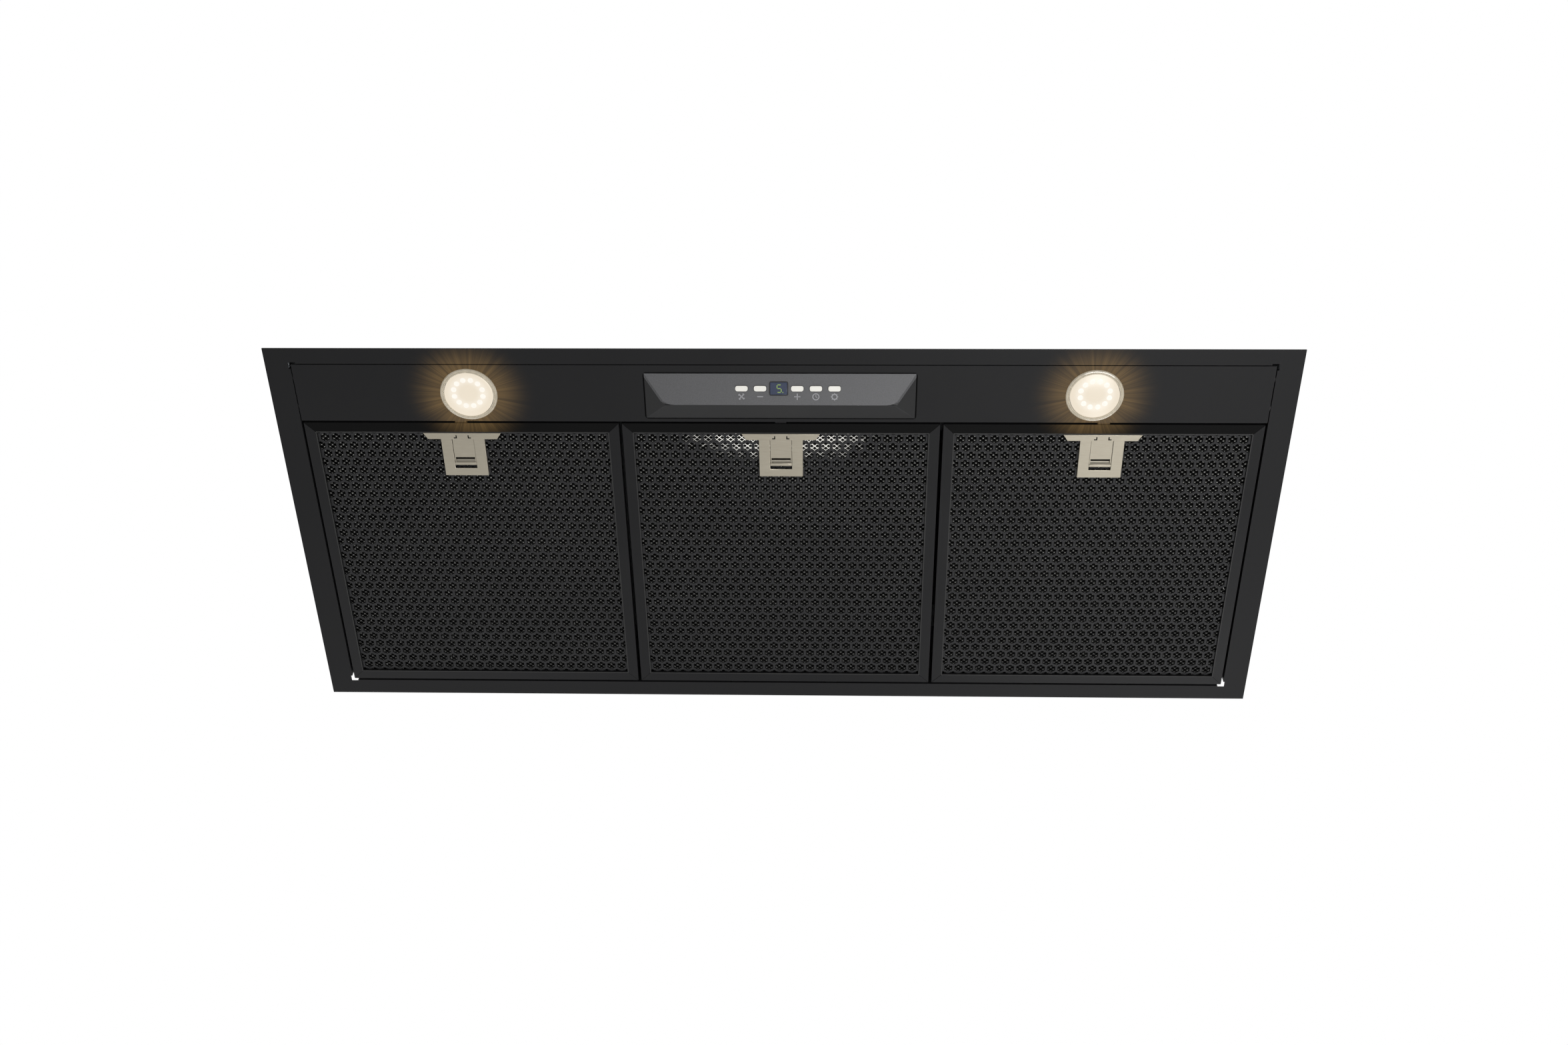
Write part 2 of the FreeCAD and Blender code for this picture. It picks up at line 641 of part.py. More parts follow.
node("capacitor", rod("capacitor", "y", "capacitor_radius",
                      f"{CHAMBER_X} - chamber_sheet - 2 * capacitor_radius",
                      "chamber_rear - chamber_sheet - capacitor_length",
                      f"{CHAMBER_ROOF} - capacitor_radius", "capacitor_length"))

# Outlet collar with a ledge under two damper flaps, each on its own pin
FLAP_Z = "(chamber_top + flap_height)"
DUCT_BORE = "(duct_radius - duct_sheet)"
LEDGE_TOP = f"({FLAP_Z} - flap_sheet / 2 - flap_rest)"
node("outlet_collar", turned("outlet_collar", [
    (DUCT_BORE, "chamber_top"), ("duct_radius + duct_flange", "chamber_top"),
    ("duct_radius + duct_flange", "chamber_top + duct_sheet"), ("duct_radius", "chamber_top + duct_sheet"),
    ("duct_radius", "chamber_top + duct_height"), (DUCT_BORE, "chamber_top + duct_height"),
    (DUCT_BORE, LEDGE_TOP), (f"{DUCT_BORE} - duct_ledge", LEDGE_TOP),
    (f"{DUCT_BORE} - duct_ledge", f"{LEDGE_TOP} - duct_sheet"), (DUCT_BORE, f"{LEDGE_TOP} - duct_sheet"),
], y=OUTLET_Y))
PIN_HALF = f"(sqrt(({DUCT_BORE} - duct_ledge)^2 - (pin_offset + pin_radius)^2) - pin_end_gap)"
pins = [rod("pin", "x", "pin_radius", f"-{PIN_HALF}", f"{OUTLET_Y} + {shift}", FLAP_Z, f"2 * {PIN_HALF}")
        for shift in either_side("pin_offset")]
node("flap_pins", group("flap_pins", *pins))
for side, sign in (("front", "-1"), ("rear", "1")):
    pin_y = f"({OUTLET_Y} + {sign} * pin_offset)"
    disc = rod("flap_disc", "z", f"{DUCT_BORE} - flap_margin", "0", OUTLET_Y, f"{FLAP_Z} - flap_sheet / 2",
               "flap_sheet")
    far = f"{pin_y} + {sign} * 2 * duct_radius"
    keep_y = (far, pin_y) if side == "front" else (pin_y, far)
    keep = box("flap_half", either_side("2 * duct_radius"), keep_y, (f"{FLAP_Z} - 5", f"{FLAP_Z} + 5"))
    half_disc = doc.addObject("Part::Common", "flap_plate")
    half_disc.Base = disc
    half_disc.Tool = keep
    knuckle = rod("knuckle", "x", "pin_radius + running_gap + knuckle_wall", "-knuckle_length / 2", pin_y,
                  FLAP_Z, "knuckle_length")
    eye = rod("knuckle_bore", "x", "pin_radius + running_gap", "-duct_radius", pin_y, FLAP_Z,
              "2 * duct_radius")
    node(f"flap_{side}", cut(f"flap_{side}", fuse("flap_blank", half_disc, knuckle), eye))

# Electronics box on the plenum, with its lid, terminal block and cable gland
EBOX_X = ("ebox_left", "ebox_left + ebox_width")
EBOX_Y = ("ebox_front", "ebox_front + ebox_depth")
EBOX_TOP = "(plenum_top + ebox_height)"
GLAND_Y = "(ebox_front + ebox_depth / 2)"
GLAND_Z = "(plenum_top + ebox_height / 2)"
ebox = box("ebox", EBOX_X, EBOX_Y, ("plenum_top", EBOX_TOP))
ebox_room = box("ebox_room", ("ebox_left + ebox_wall", "ebox_left + ebox_width - ebox_wall"),
                ("ebox_front + ebox_wall", "ebox_front + ebox_depth - ebox_wall"),
                ("plenum_top + ebox_wall", f"{EBOX_TOP} + 1"))
EBOX_RIGHT = EBOX_X[1]
gland_hole = rod("gland_hole", "x", "gland_thread + running_gap", f"{EBOX_RIGHT} - ebox_wall - 1", GLAND_Y,
                 GLAND_Z, "ebox_wall + 2")
node("electronics_box", cut("electronics_box", ebox, ebox_room, gland_hole))
node("electronics_lid", box("electronics_lid", EBOX_X, EBOX_Y, (EBOX_TOP, f"{EBOX_TOP} + lid_height")))
BLOCK_LEFT = "(ebox_left + 2 * ebox_wall)"
node("terminal_block", box("terminal_block", (BLOCK_LEFT, f"{BLOCK_LEFT} + block_width"),
                           (f"{GLAND_Y} - block_depth / 2", f"{GLAND_Y} + block_depth / 2"),
                           ("plenum_top + ebox_wall", "plenum_top + ebox_wall + block_height")))
gland_nut = rod("gland_nut", "x", "gland_radius", EBOX_RIGHT, GLAND_Y, GLAND_Z,
                "gland_length - 2 * ebox_wall")
gland_thread = rod("gland_thread", "x", "gland_thread", f"{EBOX_RIGHT} - 2 * ebox_wall", GLAND_Y, GLAND_Z,
                   "gland_length")
gland_bore = rod("gland_bore", "x", "gland_bore", "ebox_left", GLAND_Y, GLAND_Z, "2 * ebox_width")
node("cable_gland", cut("cable_gland", fuse("gland_blank", gland_nut, gland_thread), gland_bore))

# Lamps: rim and lens below the strip, LED board in the neck, housing above
LAMP_LOW = f"({FACE_Z} - lamp_rim_height)"
LAMP_SEAT = f"({FACE_Z} - lamp_fit)"
LENS_R = f"({LAMP_NECK} - lamp_fit)"
NECK_IN = f"({LAMP_NECK} - lamp_neck_wall)"
BOARD_Z = f"({FACE_Z} + lamp_board_height)"
for side, lamp_x in zip(("left", "right"), either_side(LAMP_X)):
    node(f"lamp_bezel_{side}", turned(f"lamp_bezel_{side}", [
        (LAMP_NECK, LAMP_LOW), ("lamp_rim_radius", LAMP_LOW), ("lamp_rim_radius", FACE_Z),
        (LAMP_NECK, FACE_Z), (LAMP_NECK, f"{FACE_Z} + lamp_neck_height"),
        (NECK_IN, f"{FACE_Z} + lamp_neck_height"),
        (NECK_IN, LAMP_SEAT), (LAMP_NECK, LAMP_SEAT)], lamp_x, LAMP_Y))
    node(f"lamp_lens_{side}", rod(f"lamp_lens_{side}", "z", LENS_R, lamp_x, LAMP_Y,
                                  f"{LAMP_SEAT} - lamp_lens_sheet", "lamp_lens_sheet"))
    board = rod("led_disc", "z", f"{NECK_IN} - lamp_fit", lamp_x, LAMP_Y, BOARD_Z, "lamp_board_sheet")
    leds = []
    for step in range(round(amount("led_count"))):
        turn = f"({step} * 360 deg / led_count)"
        leds.append(rod("led", "z", "led_radius", f"{lamp_x} + led_ring_radius * cos({turn})",
                        f"{LAMP_Y} + led_ring_radius * sin({turn})", f"{BOARD_Z} - led_height",
                        "led_height + lamp_board_sheet / 2"))
    node(f"lamp_board_{side}", fuse(f"lamp_board_{side}", board, *leds))
    can = rod("lamp_can", "z", "lamp_can_radius", lamp_x, LAMP_Y, STRIP_TOP, "lamp_can_height")
    can_room = rod("lamp_can_room", "z", "lamp_can_radius - lamp_can_sheet", lamp_x, LAMP_Y,
                   f"{STRIP_TOP} - 1", "lamp_can_height + 1 - lamp_can_sheet")
    node(f"lamp_housing_{side}", cut(f"lamp_housing_{side}", can, can_room))

# Control panel: the wedge's outline across its width, then its two sloped ends
STEP_Z = f"({FACE_Z} - panel_step)"
DROP_Z = f"({FACE_Z} - panel_drop)"
FACE_REAR = f"({PANEL_FRONT} + panel_run)"
FACE_RISE = "(panel_drop - panel_step)"
FACE_LONG = f"sqrt(panel_run^2 + {FACE_RISE}^2)"
LEAN_SIN = f"({FACE_RISE} / {FACE_LONG})"
LEAN_COS = f"(panel_run / {FACE_LONG})"


def wedge(name):
    """The panel's outer form: a low roof with a sloped face, hipped at both ends."""
    body = doc.addObject("PartDesign::Body", name)
    outline = [(PANEL_FRONT, FACE_Z), (PANEL_REAR, FACE_Z), (PANEL_REAR, STEP_Z), (FACE_REAR, DROP_Z),
               (PANEL_FRONT, STEP_Z)]
    pad(body, sketch(body, f"{name}_profile", "YZ_Plane", outline, height="-panel_width / 2"), "panel_width")
    deep = f"({DROP_Z} - 1)"
    hip_end = f"(panel_width / 2 - panel_hip * ({FACE_RISE} + 1) / {FACE_RISE})"
    hips = [[(edge, STEP_Z), (edge, deep), (end, deep)]
            for edge, end in zip(either_side("panel_width / 2"), either_side(hip_end))]
    sunk = pocket(body, sketch(body, f"{name}_hips", "XZ_Plane", *hips), "hood_depth")
    sunk.Reversed = True
    return body


def on_face(name, x, along, behind):
    """A box set square to the sloped face: across, down the slope and behind its surface."""
    made = doc.addObject("Part::Box", name)
    for side, (low, high) in zip(("Length", "Width", "Height"), (x, along, behind)):
        bind(made, **{side: f"({high}) - ({low})"})
    made.Placement = FreeCAD.Placement(FreeCAD.Vector(), FreeCAD.Rotation(FreeCAD.Vector(-1, 0, 0), 10))
    made.setExpression("Placement.Rotation.Angle", formula(f"atan({FACE_RISE} / panel_run)"))
    place(made, x[0], f"{PANEL_FRONT} + ({along[0]}) * {LEAN_COS} + ({behind[0]}) * {LEAN_SIN}",
          f"{STEP_Z} - ({along[0]}) * {LEAN_SIN} + ({behind[0]}) * {LEAN_COS}")
    return made


def rounded(name, solid, radius):
    """Round the four edges of a box that run through the face."""
    made = doc.addObject("Part::Fillet", name)
    made.Base = solid
    made.Edges = [(edge, amount(radius), amount(radius)) for edge in (1, 3, 5, 7)]
    return made


def around(middle, width, room="0"):
    """The span of a width about a middle, with room added on both sides."""
    return (f"({middle}) - ({width}) / 2 - ({room})", f"({middle}) + ({width}) / 2 + ({room})")


CONTROL_STEPS = ("-2.5", "-1.5", "-0.5", "0.5", "1.5", "2.5")
CONTROL_X = [f"({step} * control_pitch + control_shift)" for step in CONTROL_STEPS]
DISPLAY_X = CONTROL_X[2]
BUTTONS = dict(zip(("fan", "minus", "plus", "timer", "light"), CONTROL_X[:2] + CONTROL_X[3:]))
FLANGE_BEHIND = "(face_sheet + button_fit)"
openings = [on_face("display_hole", around(DISPLAY_X, "display_width", "button_fit"),
                    around("button_from_front", "display_depth", "button_fit"), ("-1", "face_sheet + 1"))]
for middle in BUTTONS.values():
    hole = on_face("button_hole", around(middle, "button_width", "button_fit"),
                   around("button_from_front", "button_depth", "button_fit"), ("-1", "face_sheet + 1"))
    openings.append(rounded("button_mouth", hole, "button_round + button_fit"))
FACE_SPAN = ("-panel_run", FACE_LONG)
layer = on_face("face_layer", either_side("panel_width"), FACE_SPAN, ("0", "face_sheet"))
face_blank = doc.addObject("Part::Common", "face_blank")
face_blank.Base = wedge("face_wedge")
face_blank.Tool = layer
posts = [on_face("post", around(x, "post_side"), around("button_from_front", "post_side"),
                 ("face_sheet / 2", "board_behind")) for x in either_side("board_width / 2 - post_inset")]
node("control_face", cut("control_face", fuse("face_with_posts", face_blank, *posts), *openings))
cavity = doc.addObject("PartDesign::Body", "panel_cavity")
cavity_front = f"{PANEL_FRONT} + panel_wall"
cavity_outline = [(cavity_front, f"{FACE_Z} + 1"), (f"{PANEL_REAR} - panel_wall", f"{FACE_Z} + 1"),
                  (f"{FACE_REAR} + face_sheet * {LEAN_SIN}", f"{DROP_Z} + face_sheet * {LEAN_COS}"),
                  (cavity_front, f"{STEP_Z} - panel_wall * {FACE_RISE} / panel_run")]
cavity_profile = sketch(cavity, "cavity_profile", "YZ_Plane", cavity_outline, height=f"-{PANEL_CAVITY}")
pad(cavity, cavity_profile, f"2 * {PANEL_CAVITY}")
bezel_layer = on_face("bezel_layer", either_side("panel_width"), FACE_SPAN, ("-1", "face_sheet"))
node("control_bezel", cut("control_bezel", wedge("bezel_wedge"), bezel_layer, cavity))

# Behind the face: buttons, display, the board with its switches, and a housing over them
for name, middle in BUTTONS.items():
    cap = on_face("cap", around(middle, "button_width"), around("button_from_front", "button_depth"),
                  ("-button_proud", f"{FLANGE_BEHIND} + button_flange / 2"))
    flange = on_face("button_flange", around(middle, "button_width", "button_flange"),
                     around("button_from_front", "button_depth", "button_flange"),
                     (FLANGE_BEHIND, f"{FLANGE_BEHIND} + button_flange"))
    node(f"button_{name}", fuse(f"button_{name}", rounded("button_cap", cap, "button_round"), flange))
node("display_module", on_face("display_module", around(DISPLAY_X, "display_width"),
                               around("button_from_front", "display_depth"), ("-button_fit", "board_behind")))
node("control_board", on_face("control_board", either_side("board_width / 2"),
                              around("button_from_front", "board_depth"),
                              ("board_behind", "board_behind + board_sheet")))
SWITCH_TOP = f"({FLANGE_BEHIND} + button_flange + button_travel + button_fit / 2)"
switches = [on_face("switch", around(middle, "switch_side"), around("button_from_front", "switch_side"),
                    (SWITCH_TOP, "board_behind")) for middle in BUTTONS.values()]
node("button_switches", group("button_switches", *switches))
shell_x = f"({PANEL_CAVITY} + 2 * shell_wall)"
shell_y = (f"{PANEL_FRONT} + panel_wall - 2 * shell_wall", f"{PANEL_REAR} - panel_wall")
housing = box("housing", either_side(shell_x), shell_y, (STRIP_TOP, f"{STRIP_TOP} + shell_height"))
housing_room = box("housing_room", either_side(f"{shell_x} - shell_wall"),
                   (f"{shell_y[0]} + shell_wall", f"{shell_y[1]} - shell_wall"),
                   (f"{STRIP_TOP} - 1", f"{STRIP_TOP} + shell_height - shell_wall"))
node("control_housing", cut("control_housing", housing, housing_room))


def grid_shape(middle):
    """The honeycomb sheet: one face with staggered hexagons, points to front and back.

    Each opening stands for four of the fine perforations of the pressed sheet.
    """
    half_x = amount(f"{FILTER_WIDTH} / 2 - filter_sheet - grid_fit")
    front = amount(f"{FILTER_FRONT} + filter_sheet + grid_fit")
    rear = amount(f"{FILTER_REAR} - filter_sheet - grid_fit")
    pitch = amount("grid_pitch")
    corner = (pitch - amount("grid_web")) / math.sqrt(3)
    row_step = pitch * math.sqrt(3) / 2
    margin = amount("grid_margin")
    middle_y = (front + rear) / 2
    centre = FreeCAD.Vector(middle, middle_y, amount(GRID_Z))
    corners = [(-half_x, front - middle_y), (half_x, front - middle_y), (half_x, rear - middle_y),
               (-half_x, rear - middle_y)]
    wires = [Part.makePolygon([centre + FreeCAD.Vector(x, y, 0) for x, y in corners + corners[:1]])]
    turns = [math.radians(60 * step) for step in range(7)]
    spokes = [FreeCAD.Vector(corner * math.sin(turn), corner * math.cos(turn), 0) for turn in turns]
    rows = math.floor((rear - middle_y - margin - corner) / row_step)
    for row in range(-rows, rows + 1):
        shift = pitch / 2 if row % 2 else 0
        columns = math.floor((half_x - margin - pitch / 2 - shift) / pitch)
        for column in range(-columns - (1 if row % 2 else 0), columns + 1):
            at = centre + FreeCAD.Vector(column * pitch + shift, row * row_step, 0)
            wires.append(Part.makePolygon([at + spoke for spoke in spokes]))
    return Part.Face(wires).extrude(FreeCAD.Vector(0, 0, amount("grid_sheet")))


# Grease filters: folded frame with rear tabs, honeycomb sheet, mesh pack, latch plate and slider
PLATE_FRONT = f"({FILTER_FRONT} + frame_face)"
PLATE_LOW = f"({FACE_Z} - plate_proud)"
PLATE_IN = f"({PLATE_LOW} + plate_sheet)"
WINDOW_FRONT = f"({PLATE_FRONT} + window_from_front)"
WINDOW_Y = (WINDOW_FRONT, f"{WINDOW_FRONT} + window_length")
SLIDER_Z = f"({PLATE_IN} + slider_fit)"
SLIDER_TOP = f"({SLIDER_Z} + slider_sheet)"
SLIDER_FRONT = f"({WINDOW_FRONT} - slider_side)"
FINGER_Y = f"({SLIDER_FRONT} + slider_panel)"
BAR_Y = f"({FINGER_Y} + finger_gap)"
for side, middle in FILTERS.items():
    x = around(middle, FILTER_WIDTH)
    y = (FILTER_FRONT, FILTER_REAR)
    lip_inset = "(frame_face - filter_sheet)"
    lip_x = (f"{x[0]} + {lip_inset}", f"{x[1]} - {lip_inset}")
    lip_y = (f"{y[0]} + {lip_inset}", f"{y[1]} - {lip_inset}")
    tabs = [box("tab", around(f"{middle} + {shift}", "tab_width"),
                (f"{FILTER_REAR} - filter_sheet", f"{COLLAR_REAR} + tab_reach"),
                around(HINGE_Z, "tab_sheet")) for shift in either_side("tab_offset")]
    folds = fuse("frame_folds",
                 ring("frame_face_fold", x, y, "frame_face", (FACE_Z, f"{FACE_Z} + filter_sheet")),
                 ring("frame_lip", lip_x, lip_y, "filter_sheet", (FACE_Z, GRID_Z)),
                 ring("frame_wall", x, y, "filter_sheet", (FACE_Z, FILTER_TOP)),
                 ring("frame_top_fold", x, y, "frame_top", (f"{FILTER_TOP} - filter_sheet", FILTER_TOP)),
                 *tabs)
    mitres = []
    for (corner_x, corner_y), turn in zip(rectangle(x, y), (45, 135, 225, 315)):
        mitre = doc.addObject("Part::Box", "mitre")
        bind(mitre, Length="frame_face * sqrt(2) + 2 * mitre_width", Width="mitre_width",
             Height="2 * mitre_depth")
        mitre.Placement = FreeCAD.Placement(FreeCAD.Vector(), FreeCAD.Rotation(FreeCAD.Vector(0, 0, 1), turn))
        place(mitre, f"{corner_x} + mitre_width * (sin({turn} deg) / 2 - cos({turn} deg))",
              f"{corner_y} - mitre_width * (cos({turn} deg) / 2 + sin({turn} deg))",
              f"{FACE_Z} - mitre_depth")
        mitres.append(mitre)
    tongue_way = box("tongue_way", around(middle, "tongue_width", "2 * tongue_room"),
                     (f"{FILTER_FRONT} - 1", f"{PLATE_FRONT} + 1"), (f"{FACE_Z} + filter_sheet", GRID_Z))
    node(f"filter_frame_{side}", cut(f"filter_frame_{side}", folds, tongue_way, *mitres))
    node(f"filter_face_{side}", free_shape(f"filter_face_{side}", grid_shape(amount(middle))))
    inset = "(filter_sheet + grid_fit)"
    node(f"filter_mesh_{side}", box(f"filter_mesh_{side}", (f"{x[0]} + {inset}", f"{x[1]} - {inset}"),
                                    (f"{y[0]} + {inset}", f"{y[1]} - {inset}"),
                                    (f"{GRID_Z} + grid_sheet", f"{GRID_Z} + grid_sheet + mesh_height")))

    plate = doc.addObject("PartDesign::Body", f"latch_plate_{side}")
    place(plate, middle)
    bar_half = "(plate_bar_width / 2)"
    bar_end = f"({bar_half} - plate_bar_slant)"
    neck = "(plate_width / 2)"
    bar_rear = f"({PLATE_FRONT} + plate_bar_depth)"
    plate_rear = f"({PLATE_FRONT} + plate_length)"
    right = [(bar_half, PLATE_FRONT), (bar_end, bar_rear), (neck, bar_rear), (neck, plate_rear)]
    outline = right + [(f"-{across}", along) for across, along in reversed(right)]
    pad(plate, sketch(plate, "plate", "XY_Plane", outline, height=PLATE_LOW), f"{GRID_Z} - {PLATE_LOW}")
    room = rectangle(either_side(f"{neck} - plate_wall"),
                     (f"{PLATE_FRONT} + plate_wall", f"{plate_rear} - plate_wall"))
    pocket(plate, sketch(plate, "plate_room", "XY_Plane", room, height=GRID_Z), f"{GRID_Z} - {PLATE_IN}")
    window = rectangle(either_side("window_width / 2"), WINDOW_Y)
    pocket(plate, sketch(plate, "plate_window", "XY_Plane", window, height=GRID_Z), f"{GRID_Z} - {PLATE_LOW}")
    front_slot = rectangle(either_side("tongue_width / 2 + 2 * tongue_room"),
                           (f"{PLATE_FRONT} - 1", f"{PLATE_FRONT} + 2 * plate_wall"))
    pocket(plate, sketch(plate, "plate_slot", "XY_Plane", front_slot, height=GRID_Z),
           f"{GRID_Z} - {TONGUE_Z} + tongue_room")
    node(f"latch_plate_{side}", plate)

    slider_x = around(middle, "window_width - 2 * slider_fit")
    slide = box("slide", slider_x, (SLIDER_FRONT, f"{BAR_Y} + finger_bar"), (SLIDER_Z, SLIDER_TOP))
    finger = box("finger_hole", around(middle, "window_width - 2 * slider_sheet - 2 * slider_fit"),
                 (FINGER_Y, BAR_Y), (f"{SLIDER_Z} - 1", f"{SLIDER_TOP} + 1"))
    bar = box("finger_bar", slider_x, (BAR_Y, f"{BAR_Y} + finger_bar"),
              (f"{PLATE_LOW} + slider_fit", SLIDER_TOP))
    root = box("tongue_root", around(middle, "tongue_width"), (SLIDER_FRONT, f"{SLIDER_FRONT} + tongue_root"),
               (SLIDER_Z, TONGUE_TOP))
    tongue = box("tongue", around(middle, "tongue_width"),
                 (f"{STRIP_REAR} + tongue_rest", f"{SLIDER_FRONT} + tongue_root"), (TONGUE_Z, TONGUE_TOP))
    open_slide = cut("slide_with_gap", slide, finger)
    node(f"latch_slider_{side}", fuse(f"latch_slider_{side}", open_slide, bar, root, tongue))

doc.recompute()
for item in doc.Objects:
    if {"Invalid", "Error"} & set(item.State):
        raise RuntimeError(f"{item.Label} is {item.State}")
for label, item in nodes.items():
    if item.Shape.isNull() or not item.Shape.isValid():
        raise RuntimeError(f"{label} has no valid shape")
os.makedirs("parts", exist_ok=True)
for label, item in nodes.items():
    item.Shape.exportStep(f"parts/{label}.step")
print(len(nodes), "sub-parts")
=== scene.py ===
import math

import bmesh
import bpy
from mathutils import Matrix, Vector


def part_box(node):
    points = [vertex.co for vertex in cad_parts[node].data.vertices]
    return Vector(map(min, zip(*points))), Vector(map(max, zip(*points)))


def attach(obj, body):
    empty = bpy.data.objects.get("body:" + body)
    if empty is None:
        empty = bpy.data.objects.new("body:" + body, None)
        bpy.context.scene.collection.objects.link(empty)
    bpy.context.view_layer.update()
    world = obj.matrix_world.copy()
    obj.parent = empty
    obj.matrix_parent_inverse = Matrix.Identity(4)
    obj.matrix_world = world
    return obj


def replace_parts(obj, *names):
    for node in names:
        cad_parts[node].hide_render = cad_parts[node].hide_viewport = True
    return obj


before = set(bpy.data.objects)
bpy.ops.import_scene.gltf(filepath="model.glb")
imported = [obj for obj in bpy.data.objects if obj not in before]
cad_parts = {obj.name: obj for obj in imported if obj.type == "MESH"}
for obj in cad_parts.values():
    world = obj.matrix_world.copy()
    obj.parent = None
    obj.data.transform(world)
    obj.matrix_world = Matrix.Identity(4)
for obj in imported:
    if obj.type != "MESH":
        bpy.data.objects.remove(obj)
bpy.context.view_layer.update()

# Fascia frame: a flange of folded steel sheet round the cut-out, with its collar turned up.
# It is powder coated black: a satin skin with a fine orange peel, faintly clouded by wiping.
MM = 0.001
LAMP_X = 274 * MM
LAMP_Y = -147.7 * MM
LAMP_RADIUS = 25.2 * MM
HALO_REACH = 68 * MM
HALO_WARM = "#b8935a"
HALO_LEVEL = 0.27
HALO_STEEPNESS = 2.5
PEEL_MM = 0.9
PEEL_DEPTH_MM = 0.03
PEEL_STRENGTH = 0.35
CLOUD_MM = 90
CLOUD_SMOOTHER = 0.06
CLOUD_ROUGHER = 0.08
MERGE_WITHIN = 0.002 * MM
FLAT_WITHIN = math.radians(0.5)


def linear(code):
    """The linear colour, with full alpha, of an sRGB hex value."""
    shares = [int(code[place:place + 2], 16) / 255 for place in (1, 3, 5)]
    return (*(c / 12.92 if c <= 0.04045 else ((c + 0.055) / 1.055) ** 2.4 for c in shares), 1)


def per_metre(size_mm):
    """The texture scale that gives features of a size in millimetres."""
    return 1000 / size_mm


def add_node(tree, kind, links=None, **settings):
    """Add one node: its settings by name, then its inputs as values or linked sockets."""
    made = tree.nodes.new(kind)
    for name, value in settings.items():
        setattr(made, name, value)
    for socket, value in (links or {}).items():
        if isinstance(value, bpy.types.NodeSocket):
            tree.links.new(value, made.inputs[socket])
        else:
            made.inputs[socket].default_value = value
    return made


def new_finish(name, **sockets):
    """A material with one shader, whose plain sockets are set by name."""
    material = bpy.data.materials.new(name)
    material.use_nodes = True
    tree = material.node_tree
    shader = tree.nodes["Principled BSDF"]
    for socket, value in sockets.items():
        shader.inputs[socket.replace("_", " ")].default_value = value
    place = add_node(tree, "ShaderNodeTexCoord").outputs["Object"]
    return material, tree, shader, place


def bumped(tree, shader, height, depth_mm, strength=1.0):
    """Send a height pattern to the shader as a bump of a real depth."""
    bump = add_node(tree, "ShaderNodeBump", {"Strength": strength, "Distance": depth_mm * MM,
                                             "Height": height})
    tree.links.new(bump.outputs["Normal"], shader.inputs["Normal"])


def from_lamp(tree, place):
    """The way, in plan, from the middle of the nearer lamp."""
    apart = add_node(tree, "ShaderNodeSeparateXYZ", {0: place}).outputs
    across = add_node(tree, "ShaderNodeMath", {0: apart["X"]}, operation="ABSOLUTE").outputs[0]
    centred = add_node(tree, "ShaderNodeCombineXYZ", {"X": across, "Y": apart["Y"]}).outputs[0]
    return add_node(tree, "ShaderNodeVectorMath", {0: centred, 1: (LAMP_X, LAMP_Y, 0)},
                    operation="SUBTRACT").outputs[0]


def lamp_halo(tree, shader, place):
    """The warm light that each lamp throws on the paint round it, in uneven rays, from below."""
    offset = from_lamp(tree, place)
    reach = add_node(tree, "ShaderNodeVectorMath", {0: offset}, operation="LENGTH").outputs["Value"]
    heading = add_node(tree, "ShaderNodeVectorMath", {0: offset}, operation="NORMALIZE").outputs[0]
    rays = add_node(tree, "ShaderNodeTexNoise", {"Vector": heading, "Scale": 9.0, "Detail": 4.0,
                                                 "Roughness": 0.85}).outputs[0]
    uneven = add_node(tree, "ShaderNodeMapRange", {"Value": rays, "From Min": 0.38, "From Max": 0.64,
                                                   "To Min": 0.5, "To Max": 1.1}).outputs[0]
    fade = add_node(tree, "ShaderNodeMapRange", {"Value": reach, "From Min": LAMP_RADIUS,
                                                 "From Max": HALO_REACH, "To Min": 1.0, "To Max": 0.0},
                    interpolation_type="SMOOTHSTEP").outputs[0]
    steep = add_node(tree, "ShaderNodeMath", {0: fade, 1: HALO_STEEPNESS}, operation="POWER").outputs[0]
    glow = add_node(tree, "ShaderNodeMath", {0: steep, 1: uneven}, operation="MULTIPLY").outputs[0]
    facing = add_node(tree, "ShaderNodeTexCoord").outputs["Normal"]
    facing_up = add_node(tree, "ShaderNodeSeparateXYZ", {0: facing}).outputs["Z"]
    below = add_node(tree, "ShaderNodeMapRange", {"Value": facing_up, "From Min": -0.6, "From Max": -0.2,
                                                  "To Min": HALO_LEVEL, "To Max": 0.0}).outputs[0]
    strength = add_node(tree, "ShaderNodeMath", {0: glow, 1: below}, operation="MULTIPLY").outputs[0]
    shader.inputs["Emission Color"].default_value = linear(HALO_WARM)
    tree.links.new(strength, shader.inputs["Emission Strength"])


